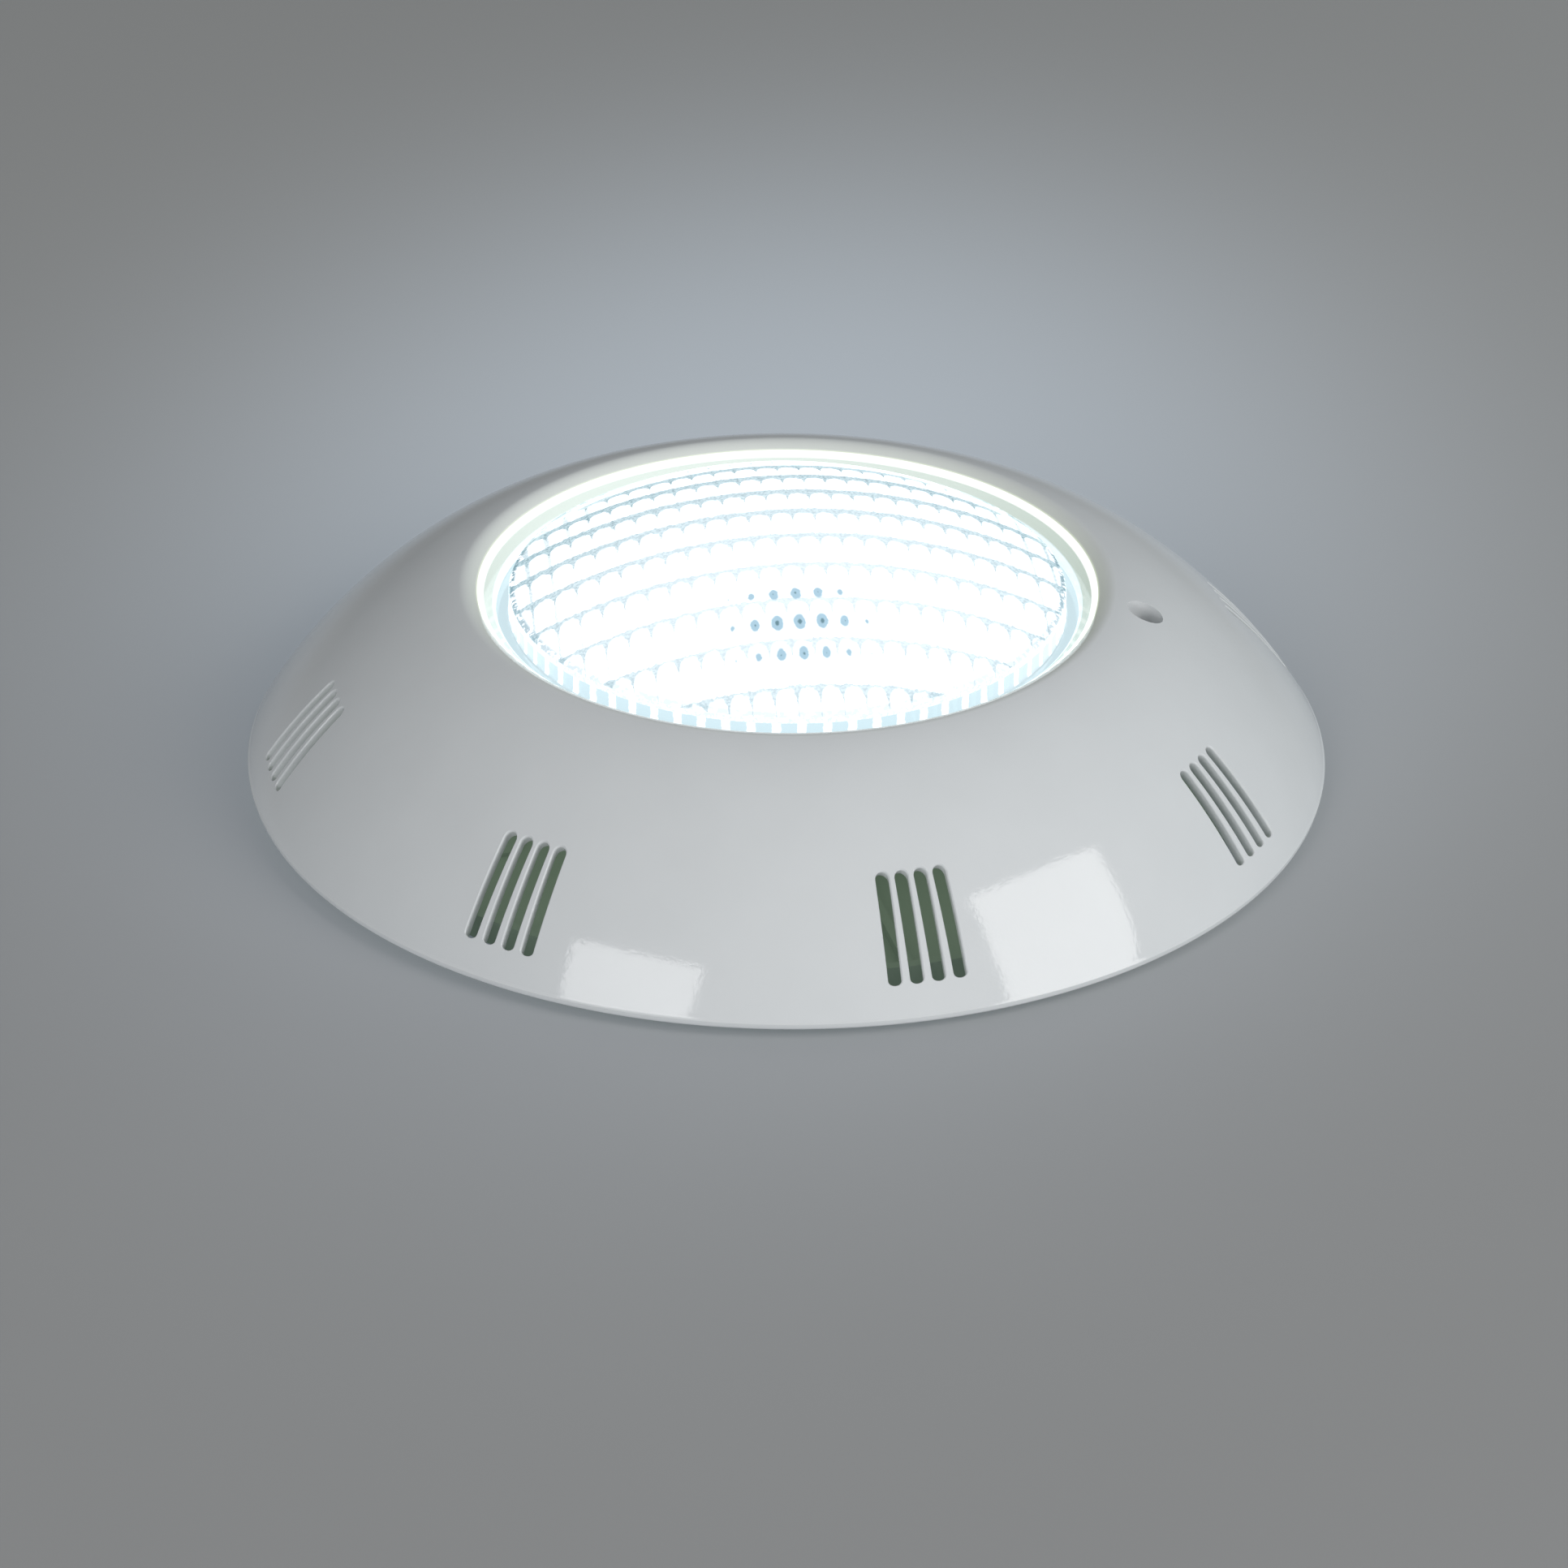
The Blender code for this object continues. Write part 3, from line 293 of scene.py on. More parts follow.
def moved(mesh, offset=(0, 0, 0), turn_deg=0.0):
    """The mesh turned about Z and then shifted."""
    placing = Matrix.Translation(offset) @ Matrix.Rotation(math.radians(turn_deg), 4, "Z")
    bmesh.ops.transform(mesh, matrix=placing, verts=mesh.verts)
    return mesh


def group(meshes):
    """Several meshes as one."""
    joined = bmesh.new()
    for mesh in meshes:
        data = bpy.data.meshes.new("part_of_group")
        mesh.to_mesh(data)
        mesh.free()
        joined.from_mesh(data)
        bpy.data.meshes.remove(data)
    return joined


def plain_object(name, mesh):
    """An object at the origin from a mesh in millimetres."""
    bmesh.ops.scale(mesh, vec=(MM, MM, MM), verts=mesh.verts)
    data = bpy.data.meshes.new(name)
    mesh.to_mesh(data)
    mesh.free()
    made = bpy.data.objects.new(name, data)
    bpy.context.scene.collection.objects.link(made)
    return made


def mesh_in_mm(made):
    """Takes an object's mesh back, in millimetres, and removes the object."""
    mesh = bmesh.new()
    mesh.from_mesh(made.data)
    bmesh.ops.scale(mesh, vec=(1 / MM, 1 / MM, 1 / MM), verts=mesh.verts)
    bpy.data.meshes.remove(made.data)
    return mesh


def combine(target, operation, tool_mesh):
    """Cuts, joins or intersects the target with an exact Boolean."""
    tool = plain_object("tool", tool_mesh)
    modifier = target.modifiers.new(operation, "BOOLEAN")
    modifier.operation = operation
    modifier.solver = "EXACT"
    modifier.object = tool
    seen = target.evaluated_get(bpy.context.evaluated_depsgraph_get())
    result = bpy.data.meshes.new_from_object(seen)
    before = target.data
    target.modifiers.clear()
    target.data = result
    bpy.data.meshes.remove(before)
    bpy.data.meshes.remove(tool.data)
    result.name = target.name


def finished(made, look, body, nodes, sharp_deg=30):
    """Shades a piece, gives it its material and body, and hides the CAD nodes it stands for."""
    made.data.materials.clear()
    made.data.materials.append(look)
    made.data.shade_smooth()
    made.data.set_sharp_from_angle(angle=math.radians(sharp_deg))
    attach(made, body)
    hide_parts(*nodes)
    return made


# ---------------------------------------------------------------- materials

def new_material(name):
    """A node material, with its node tree and its Principled shader."""
    made = bpy.data.materials.new(name)
    made.use_nodes = True
    return made, made.node_tree, made.node_tree.nodes["Principled BSDF"]


def noise(tree, scale, detail=3.0):
    """Noise in the object's own coordinates; scale is in features per metre."""
    coordinates = tree.nodes.new("ShaderNodeTexCoord")
    texture = tree.nodes.new("ShaderNodeTexNoise")
    texture.inputs["Scale"].default_value = scale
    texture.inputs["Detail"].default_value = detail
    tree.links.new(coordinates.outputs["Object"], texture.inputs["Vector"])
    return texture.outputs["Fac"]


def ramp(tree, factor, first, last, low=0.3, high=0.7):
    """Blends two colours by a factor."""
    made = tree.nodes.new("ShaderNodeValToRGB")
    made.color_ramp.elements[0].position = low
    made.color_ramp.elements[0].color = (*first, 1.0)
    made.color_ramp.elements[1].position = high
    made.color_ramp.elements[1].color = (*last, 1.0)
    tree.links.new(factor, made.inputs["Fac"])
    return made.outputs["Color"]


def spread(tree, factor, low, high):
    """Maps a 0..1 factor to a range of values."""
    made = tree.nodes.new("ShaderNodeMapRange")
    made.inputs["To Min"].default_value = low
    made.inputs["To Max"].default_value = high
    tree.links.new(factor, made.inputs["Value"])
    return made.outputs["Result"]


def bump(tree, shader, height, strength, distance):
    """Gives a surface a fine relief."""
    made = tree.nodes.new("ShaderNodeBump")
    made.inputs["Strength"].default_value = strength
    made.inputs["Distance"].default_value = distance
    tree.links.new(height, made.inputs["Height"])
    tree.links.new(made.outputs["Normal"], shader.inputs["Normal"])


def moulded_plastic(name, colour, roughness, grain=900.0, grain_strength=0.15):
    """Moulded plastic: faint mottling, uneven gloss and a fine orange-peel surface."""
    made, tree, shader = new_material(name)
    lighter = tuple(min(1.0, c * 1.012) for c in colour)
    darker = tuple(c * 0.985 for c in colour)
    tree.links.new(ramp(tree, noise(tree, 45.0), darker, lighter), shader.inputs["Base Color"])
    uneven = spread(tree, noise(tree, 180.0), roughness * 0.85, roughness * 1.2)
    tree.links.new(uneven, shader.inputs["Roughness"])
    bump(tree, shader, noise(tree, grain, 2.0), grain_strength, 0.0001)
    return made


def dim_plastic(name, colour, roughness, glow):
    """Plastic behind the cover, with the little light that reaches it through the shell."""
    made = moulded_plastic(name, colour, roughness)
    shader = made.node_tree.nodes["Principled BSDF"]
    shader.inputs["Emission Color"].default_value = (*glow, 1.0)
    shader.inputs["Emission Strength"].default_value = 1.0
    return made


def metal(name, colour, roughness):
    """Metal with fine brushed or cast unevenness."""
    made, tree, shader = new_material(name)
    shader.inputs["Metallic"].default_value = 1.0
    darker = tuple(c * 0.85 for c in colour)
    tree.links.new(ramp(tree, noise(tree, 300.0), darker, colour), shader.inputs["Base Color"])
    tree.links.new(spread(tree, noise(tree, 1200.0), roughness * 0.7, roughness * 1.4),
                   shader.inputs["Roughness"])
    bump(tree, shader, noise(tree, 1800.0), 0.1, 0.0001)
    return made


def glowing(name, colour, strength, roughness=0.4):
    """A surface lit from inside the lamp: pale, with its own even light."""
    made, tree, shader = new_material(name)
    darker = tuple(c * 0.93 for c in colour)
    tree.links.new(ramp(tree, noise(tree, 250.0), darker, colour), shader.inputs["Base Color"])
    shader.inputs["Roughness"].default_value = roughness
    shader.inputs["Emission Color"].default_value = (*colour, 1.0)
    shader.inputs["Emission Strength"].default_value = strength
    return made


def maths(tree, operation, *values):
    """A Math node; each value is a number or another node's output."""
    made = tree.nodes.new("ShaderNodeMath")
    made.operation = operation
    for socket, value in zip(made.inputs, values):
        if isinstance(value, (int, float)):
            socket.default_value = value
        else:
            tree.links.new(value, socket)
    return made


class Field:
    """A number that varies over a surface, made by nodes, with which one can do sums."""

    def __init__(self, tree, socket):
        self.tree = tree
        self.socket = socket

    def sum_with(self, operation, *values):
        """A field made from fields and numbers by a Math node."""
        sockets = [value.socket if isinstance(value, Field) else value for value in values]
        return Field(self.tree, maths(self.tree, operation, *sockets).outputs[0])

    def __add__(self, other):
        return self.sum_with("ADD", self, other)

    def __sub__(self, other):
        return self.sum_with("SUBTRACT", self, other)

    def __rsub__(self, other):
        return self.sum_with("SUBTRACT", other, self)

    def __mul__(self, other):
        return self.sum_with("MULTIPLY", self, other)

    def __truediv__(self, other):
        return self.sum_with("DIVIDE", self, other)

    def __pow__(self, other):
        return self.sum_with("POWER", self, other)

    def fraction(self):
        return self.sum_with("FRACT", self)

    def rounded(self):
        return self.sum_with("ROUND", self)

    def magnitude(self):
        return self.sum_with("ABSOLUTE", self)

    def exponential(self):
        return self.sum_with("EXPONENT", self)

    def or_more(self, other):
        """The larger of the two."""
        return self.sum_with("MAXIMUM", self, other)

    def angle_to(self, other):
        """The angle of the direction whose parts are other, along the first axis, and this."""
        return self.sum_with("ARCTAN2", self, other)

    def limited(self):
        """The number, kept between 0 and 1."""
        made = maths(self.tree, "ADD", self.socket, 0.0)
        made.use_clamp = True
        return Field(self.tree, made.outputs[0])

    def step(self, low, high):
        """0 below low, 1 above high and smooth between; low may be the higher of the two."""
        made = self.tree.nodes.new("ShaderNodeMapRange")
        made.interpolation_type = "SMOOTHSTEP"
        made.inputs["From Min"].default_value = low
        made.inputs["From Max"].default_value = high
        self.tree.links.new(self.socket, made.inputs["Value"])
        return Field(self.tree, made.outputs["Result"])


def noise_field(tree, scale, detail):
    """Noise as a field."""
    return Field(tree, noise(tree, scale, detail))


def blend(tree, factor, first, second):
    """Blends two colours, each a node's output or three numbers, by a field."""
    made = tree.nodes.new("ShaderNodeMix")
    made.data_type = "RGBA"
    tree.links.new(factor.socket, made.inputs[0])
    for socket, colour in ((made.inputs[6], first), (made.inputs[7], second)):
        if isinstance(colour, tuple):
            socket.default_value = (*colour, 1.0)
        else:
            tree.links.new(colour, socket)
    return made.outputs[2]


def place_in_mm(tree):
    """The place's x, y and z in the piece's own coordinates, in millimetres."""
    coordinates = tree.nodes.new("ShaderNodeTexCoord")
    parts = tree.nodes.new("ShaderNodeSeparateXYZ")
    tree.links.new(coordinates.outputs["Object"], parts.inputs["Vector"])
    return [Field(tree, parts.outputs[i]) * (1 / MM) for i in range(3)]


def length_of(first, second):
    """The length of a vector with two parts, such as the distance from the main axis."""
    return (first * first + second * second) ** 0.5


def lit_shell(name, colour, roughness):
    """The cover's plastic, which the lamp lights on the edge and the cone of its opening."""
    made = moulded_plastic(name, colour, roughness)
    tree = made.node_tree
    shader = tree.nodes["Principled BSDF"]
    x, y, z = place_in_mm(tree)
    radius = length_of(x, y)
    opening = OPENING[0]
    glow = blend(tree, radius.step(opening - 1.7, opening - 1.2), LIT_CONE, LIT_EDGE)
    glow = blend(tree, radius.step(LIP_RADIUS + 1.1, LIP_RADIUS + 0.7), glow, FLANGE_WHITE)
    glow = blend(tree, radius.step(opening, opening + 0.3), glow, LIT_FRINGE)
    fringe = radius.step(opening + 0.9, opening + 0.2)
    halo = radius.step(opening + HALO_REACH, opening) * HALO_SHARE
    above = z.step(LIP_BOTTOM - 0.5, LIP_BOTTOM)
    tree.links.new(glow, shader.inputs["Emission Color"])
    tree.links.new((fringe.or_more(halo) * above).socket, shader.inputs["Emission Strength"])
    return made


class LensPlace:
    """Where a point of the lens lies, and where among the rows and columns of its prisms."""

    def __init__(self, tree):
        self.x, self.y, self.z = place_in_mm(tree)
        self.radius = length_of(self.x, self.y)
        turn = math.radians(ROW_TURN_DEG)
        self.across = self.x * math.cos(turn) + self.y * math.sin(turn)
        self.along = self.y * math.cos(turn) - self.x * math.sin(turn)
        self.fine = noise_field(tree, 700.0, 4.0)
        self.wobble = (self.fine - 0.5) * WOBBLE
        self.speckle = noise_field(tree, 1300.0, 2.0).step(0.40, 0.62)
        column = (self.across - COLUMN_PHASE) / COLUMN_PITCH
        row = (self.along - ROW_PHASE) / ROW_PITCH
        self.in_column = (column + self.wobble).fraction()
        self.from_middle = (self.in_column - 0.5).magnitude() * 2.0
        self.before_edge = 1.0 - (row + self.wobble).fraction()


def lit_dome(tree, place):
    """Painted light on the dome: white cells between teal seams of painted shade, which are deeper
    and denser towards the back and sides.
    """
    backward = place.along.step(-60.0, 70.0)
    outward = (place.radius / DOME_RADIUS) ** 3.0
    arch = place.from_middle ** 2.0 * ARCH_REACH
    tooth = place.from_middle ** 9.0 * TOOTH_REACH
    reach = arch + tooth + backward * (BAND_REACH_BACK - BAND_REACH_FRONT) + BAND_REACH_FRONT
    band = (reach - place.before_edge).step(-0.02, 0.05)
    widening = backward * outward * SEAM_WIDENING
    seam = (place.from_middle + widening).step(*SEAM_EDGES) * outward * SEAM_STRENGTH
    strength = backward * TEAL_MORE_AT_BACK + outward * TEAL_MORE_AT_SIDES + TEAL_STRENGTH
    strength = strength.limited()
    # The teal seams and their darker teeth are painted shade.
    teal = (band.or_more(seam) * strength).limited()
    dark = (tooth * 2.4 * place.speckle * strength).limited()
    painted_seam_shade = blend(tree, place.speckle * 0.6, PALE_TEAL, EDGE_TEAL)
    dome = blend(tree, teal, LIT_WHITE, blend(tree, dark, painted_seam_shade, DARK_TEAL))

    # A speckled dark edge of painted shade, widest at the back
    to_edge = place.radius + place.along.step(15.0, 75.0) * DARK_EDGE_WIDENING
    share = place.along.step(-60.0, 10.0) * 0.65 + 0.35
    edge = to_edge.step(DOME_RADIUS - 1.6, DOME_RADIUS - 0.6) * place.fine.step(0.38, 0.55) * share
    return blend(tree, edge, dome, EDGE_TEAL)


def with_dots(tree, place, dome):
    """The dark middle of the board, seen once in each prism near the lens's front."""
    away = length_of((place.across - DOT_MIDDLE[0]) / DOT_SPREAD[0],
                     (place.along - DOT_MIDDLE[1]) / DOT_SPREAD[1])
    size = away.step(1.0, 0.2) * DOT_RADIUS
    beside = (place.in_column - 0.5) * COLUMN_PITCH
    dot_row = (place.along - DOT_MIDDLE[1]) / DOT_PITCH
    ahead = (dot_row - dot_row.rounded()) * (DOT_PITCH * DOT_SQUASH)
    inside = size - length_of(beside, ahead)
    dome = blend(tree, inside.step(0.0, 0.5), dome, DOT_BLUE)
    return blend(tree, inside.step(1.1, 1.5), dome, DARK_TEAL)


def lit_skirt(tree, place):
    """The skirt's upright ribs, clearest at the front, with the flange outside them."""
    angle = place.y.angle_to(place.x) * (SKIRT_FLUTES / (2 * math.pi)) - SKIRT_PHASE
    in_rib = (angle.fraction() - 0.5).magnitude()
    facing_front = (place.y / place.radius).step(-0.25, -0.8)
    between_ribs = blend(tree, facing_front, SKIRT_PALE, SKIRT_BLUE)
    ribs = blend(tree, (in_rib + place.wobble).step(*RIB_EDGES), between_ribs, LIT_WHITE)
    upper = blend(tree, place.speckle * 0.8, LIT_WHITE, SKIRT_PALE)
    skirt = blend(tree, place.z.step(SKIRT_TOP - 1.6, SKIRT_TOP - 1.3), ribs, upper)
    return blend(tree, place.radius.step(SKIRT_RADIUS + 0.1, SKIRT_RADIUS + 0.4), skirt, FLANGE_WHITE)


def outer_surface(place):
    """1 on the lens's outside and 0 inside, where the wall is at least 1 mm further in."""
    height = place.z - (DOME_TOP - DOME_SPHERE)
    from_centre = length_of(place.radius, height)
    dome = from_centre.step(DOME_SPHERE - 0.9, DOME_SPHERE - 0.6)
    return dome.or_more(place.radius.step(SKIRT_RADIUS - 0.6, SKIRT_RADIUS - 0.4))


def lit_prisms(name, colour):
    """Clear polycarbonate whose prisms are lit from behind, in the mesh's rows and columns."""
    made, tree, shader = new_material(name)
    darker = tuple(c * 0.97 for c in colour)
    tree.links.new(ramp(tree, noise(tree, 60.0), darker, colour), shader.inputs["Base Color"])
    tree.links.new(spread(tree, noise(tree, 500.0), 0.0, 0.05), shader.inputs["Roughness"])
    shader.inputs["IOR"].default_value = 1.58
    shader.inputs["Transmission Weight"].default_value = 0.3
    place = LensPlace(tree)
    dome = with_dots(tree, place, lit_dome(tree, place))
    glow = blend(tree, place.z.step(SKIRT_TOP, SKIRT_TOP + 0.3), lit_skirt(tree, place), dome)
    tree.links.new(glow, shader.inputs["Emission Color"])
    tree.links.new(outer_surface(place).socket, shader.inputs["Emission Strength"])
    return made


LOOKS = {
    "white_abs": lit_shell("shell_plastic", (0.70, 0.72, 0.73), 0.06),
    "grey_abs": moulded_plastic("clip_plastic", (0.42, 0.45, 0.45), 0.45),
    "dark_green_abs": dim_plastic("bracket_plastic", (0.13, 0.17, 0.13), 0.45, (0.035, 0.05, 0.037)),
    "clear_lens": lit_prisms("lens_plastic", (0.10, 0.14, 0.16)),
    "rubber": moulded_plastic("seal_rubber", (0.025, 0.025, 0.025), 0.6, 2500.0, 0.4),
    "reflector_white": glowing("reflector_plastic", (0.92, 0.97, 1.0), 0.15),
    "aluminium": metal("spreader_aluminium", (0.80, 0.81, 0.82), 0.35),
    "solder_mask_white": glowing("board_mask", (0.90, 0.97, 1.0), 0.15),
    "led": glowing("led_phosphor", (0.95, 0.98, 1.0), 1.5),
    "circuit_board": moulded_plastic("driver_board_mask", (0.02, 0.16, 0.07), 0.3, 1500.0),
    "stainless": metal("screw_steel", (0.70, 0.70, 0.69), 0.25),
    "brass": metal("insert_brass", (0.78, 0.58, 0.26), 0.3),
    "nylon": moulded_plastic("washer_nylon", (0.82, 0.80, 0.72), 0.4),
    "component_black": moulded_plastic("component_plastic", (0.03, 0.03, 0.035), 0.4),
    "copper": metal("choke_copper", (0.72, 0.34, 0.18), 0.35),
    "terminal_green": moulded_plastic("terminal_plastic", (0.03, 0.30, 0.11), 0.4),
    "insulation_red": moulded_plastic("lead_red_plastic", (0.55, 0.02, 0.02), 0.35),
    "insulation_black": moulded_plastic("lead_black_plastic", (0.02, 0.02, 0.02), 0.35),
}


def slot_of_node():
    """The material slot that the record gives each node."""
    found = {}
    for subpart in frame["record"]["subparts"]:
        found[subpart["node"]] = subpart["material_slot"]
    return found


# ---------------------------------------------------------------- cover

def bezier(points, t):
    """A point and the unit normal, to the left of the direction of travel, on a Bezier curve."""
    degree = len(points) - 1
    position = Vector((0.0, 0.0))
    for i, point in enumerate(points):
        position += math.comb(degree, i) * (1 - t) ** (degree - i) * t ** i * Vector(point)
    slope = Vector((0.0, 0.0))
    for i in range(degree):
        weight = degree * math.comb(degree - 1, i) * (1 - t) ** (degree - 1 - i) * t ** i
        slope += weight * (Vector(points[i + 1]) - Vector(points[i]))
    return position, Vector((-slope.y, slope.x)).normalized()


COVER_LINE = (
    (COVER_RADIUS, RIM_HEIGHT + RIM_ROUNDING), (COVER_RADIUS + 0.7, RIM_HEIGHT + 2.6),
    (119.0, RIM_HEIGHT + 42.5), SHOULDER,
)


def cover_line(steps, offset=0.0, start=0.0):
    """The cover's outer line from near the rim up to the shoulder, or a line inside it."""
    line = []
    for i in range(steps + 1):
        position, normal = bezier(COVER_LINE, start + (1 - start) * i / steps)
        line.append(tuple(position + normal * offset))
    return line


def line_at_height(height):
    """The parameter on the cover's outer line at a height, by halving."""
    low, high = 0.0, 1.0
    for _ in range(30):
        middle = (low + high) / 2
        if bezier(COVER_LINE, middle)[0].y < height:
            low = middle
        else:
            high = middle
    return low


def slot_cutter(turn_deg):
    """A round-ended bar through the wall, flared at the surface into a rounded edge."""
    foot = line_at_height(SLOT_FOOT_Z)
    top = line_at_height(SLOT_TOP_Z)
    spots = [bezier(COVER_LINE, foot + (top - foot) * i / SLOT_LINE_STEPS)[0]
             for i in range(SLOT_LINE_STEPS + 1)]
    total = sum((b - a).length for a, b in zip(spots, spots[1:]))
    half = SLOT_WIDTH / 2
    straight = total - 2 * half
    cut = Vector((math.cos(math.radians(SLOT_CUT_DEG)), 0.0, math.sin(math.radians(SLOT_CUT_DEG))))

    # Each point: a place on the slot's middle line, and the way from there to the edge
    outline = []
    for centre, side in ((total - half, 1.0), (half, -1.0)):
        for i in range(SLOT_END_STEPS + 1):
            angle = math.radians(180 * i / SLOT_END_STEPS - 90)
            outline.append((centre, side * math.cos(angle), side * math.sin(angle)))
        for i in range(1, SLOT_SIDE_STEPS):
            outline.append((centre - side * straight * i / SLOT_SIDE_STEPS, 0.0, side))

    def ring_at(widening, depth):
        """The slot's outline on the cover's surface, widened and moved inwards along the cut."""
        reach = half + widening
        ring = []
        for along, end, side in outline:
            share = (along + end * reach) / total
            position = bezier(COVER_LINE, foot + (top - foot) * share)[0]
            ring.append(Vector((position.x, side * reach, position.y)) - cut * depth)
        return ring

    rings = [ring_at(SLOT_DRAFT, SLOT_CUT_DEPTH), ring_at(0.0, SLOT_ROUNDING)]
    for degrees in (75, 60, 45, 30):
        angle = math.radians(degrees)
        rings.append(ring_at(
            SLOT_ROUNDING * (1 - math.sin(angle)), SLOT_ROUNDING * (1 - math.cos(angle)),
        ))
    rings += [ring_at(SLOT_FLARE, depth) for depth in SLOT_FLARE_DEPTHS]
    return moved(lofted(rings), turn_deg=turn_deg)


def slot_cutters():
    """The cutters of every slot, in groups round the cover."""
    tools = []
    for i in range(SLOT_GROUPS):
        middle = (i + 0.5) * 360.0 / SLOT_GROUPS
        for j in range(SLOTS_PER_GROUP):
            tools.append(slot_cutter(middle + (j - (SLOTS_PER_GROUP - 1) / 2) * SLOT_STEP_DEG))
    return tools


def cover_bosses():
    """What stands inside the cover: the screw boss, the clip bosses and the pin's ears."""
    bosses = [moved(disc(SCREW_BOSS_RADIUS, SCREW_BOSS_BOTTOM, FAR_ABOVE), (SCREW_RADIUS, 0, 0))]
    for low, high in CLIP_SCREWS:
        centre = (low + high) / 2
        boss = disc(CLIP_BOSS_RADIUS, CLIP_BOSS_BOTTOM, FAR_ABOVE)
        bosses.append(moved(boss, (centre.x, centre.y, 0)))
    for y_range in EARS_Y:
        bosses.append(block(EARS_X, y_range, EARS_Z))
    return bosses


def cover_outline():
    """The closed outer profile: foot, rounded rim, dome, shoulder, cone and lip."""
    line = [(LIP_RADIUS, RIM_HEIGHT)]
    for degrees in (0, 30, 60, 90):
        angle = math.radians(degrees)
        line.append((COVER_RADIUS - RIM_ROUNDING * (1 - math.sin(angle)),
                     RIM_HEIGHT + RIM_ROUNDING * (1 - math.cos(angle))))
    band_top = RIM_HEIGHT + RIM_BAND
    line.append((COVER_RADIUS, band_top - RIM_BAND_STEP))
    line += cover_line(COVER_STEPS, start=line_at_height(band_top))
    shoulder = (SHOULDER, SHOULDER_HANDLE, OPENING)
    line += [tuple(bezier(shoulder, i / SHOULDER_STEPS)[0]) for i in range(1, SHOULDER_STEPS + 1)]
    lip = (OPENING, LIP_HANDLE, LIP_EDGE)
    line += [tuple(bezier(lip, i / LIP_STEPS)[0]) for i in range(1, LIP_STEPS + 1)]
    return line


def cover_cavity():
    """The hollow under the cover, round its bosses and ears."""
    inside = LIP_RADIUS - OVERCUT
    below = RIM_HEIGHT - OVERCUT
    line = [(inside, below), (COVER_RADIUS - COVER_WALL, below)]
    line += cover_line(COVER_STEPS // 2, offset=COVER_WALL)
    line += [HOLLOW_CORNER, HOLLOW_NECK, (inside, LIP_BOTTOM)]
    made = plain_object("cavity", turned(line, COVER_SEGMENTS // 2))
    combine(made, "DIFFERENCE", group(cover_bosses()))
    return mesh_in_mm(made)


def screw_way():
    """The counterbore, the hole for the screw's shaft and the way of its retaining ring."""
    seat = SCREW_HIGH.z - COUNTERBORE_BELOW_HEAD
    under_seat = seat - SCREW_SEAT_THICKNESS
    return turned([
        (0.0, RETAINER_WAY_BOTTOM), (RETAINER_WAY, RETAINER_WAY_BOTTOM), (RETAINER_WAY, under_seat),
        (SCREW_SHAFT_WAY, under_seat), (SCREW_SHAFT_WAY, seat), (COUNTERBORE_RADIUS, seat),
        (COUNTERBORE_RADIUS, FAR_ABOVE), (0.0, FAR_ABOVE),
    ], 48, closed=False)


def front_cover():
    """The domed moulding, finely turned, with rounded slots, opening and counterbore."""
    made = plain_object("front_cover_fine", turned(cover_outline(), COVER_SEGMENTS))
    combine(made, "DIFFERENCE", cover_cavity())
    cuts = [moved(screw_way(), (SCREW_RADIUS, 0, 0))]
    for low, high in CLIP_SCREWS:
        centre = (low + high) / 2
        cuts.append(moved(disc(*CLIP_SCREW_HOLE, 24), (centre.x, centre.y, 0)))
    pin_hole = disc(*PIN_HOLE, 24)
    along_pin = Matrix.Translation((PIN_X, 0, PIN_Z)) @ Matrix.Rotation(math.radians(90), 4, "X")
    bmesh.ops.transform(pin_hole, matrix=along_pin, verts=pin_hole.verts)
    cuts.append(pin_hole)
    combine(made, "DIFFERENCE", group(cuts + slot_cutters()))
    return finished(made, LOOKS["white_abs"], "cover", ["front_cover"])


# ---------------------------------------------------------------- lens

def dome_line():
    """The lens's outer arc from its edge to the axis."""
    edge_angle = math.asin(DOME_RADIUS / DOME_SPHERE)
    line = []
    for i in range(DOME_STEPS + 1):
        angle = edge_angle * (1 - i / DOME_STEPS)
        height = DOME_TOP - DOME_SPHERE + DOME_SPHERE * math.cos(angle)
        line.append((DOME_SPHERE * math.sin(angle), height))
    return line


def dome_height(x, y, offset):
    """Height above a point of the surface that lies a distance inside the dome."""
    inner = DOME_SPHERE - offset
    return DOME_TOP - DOME_SPHERE + math.sqrt(max(inner * inner - x * x - y * y, 0.0))


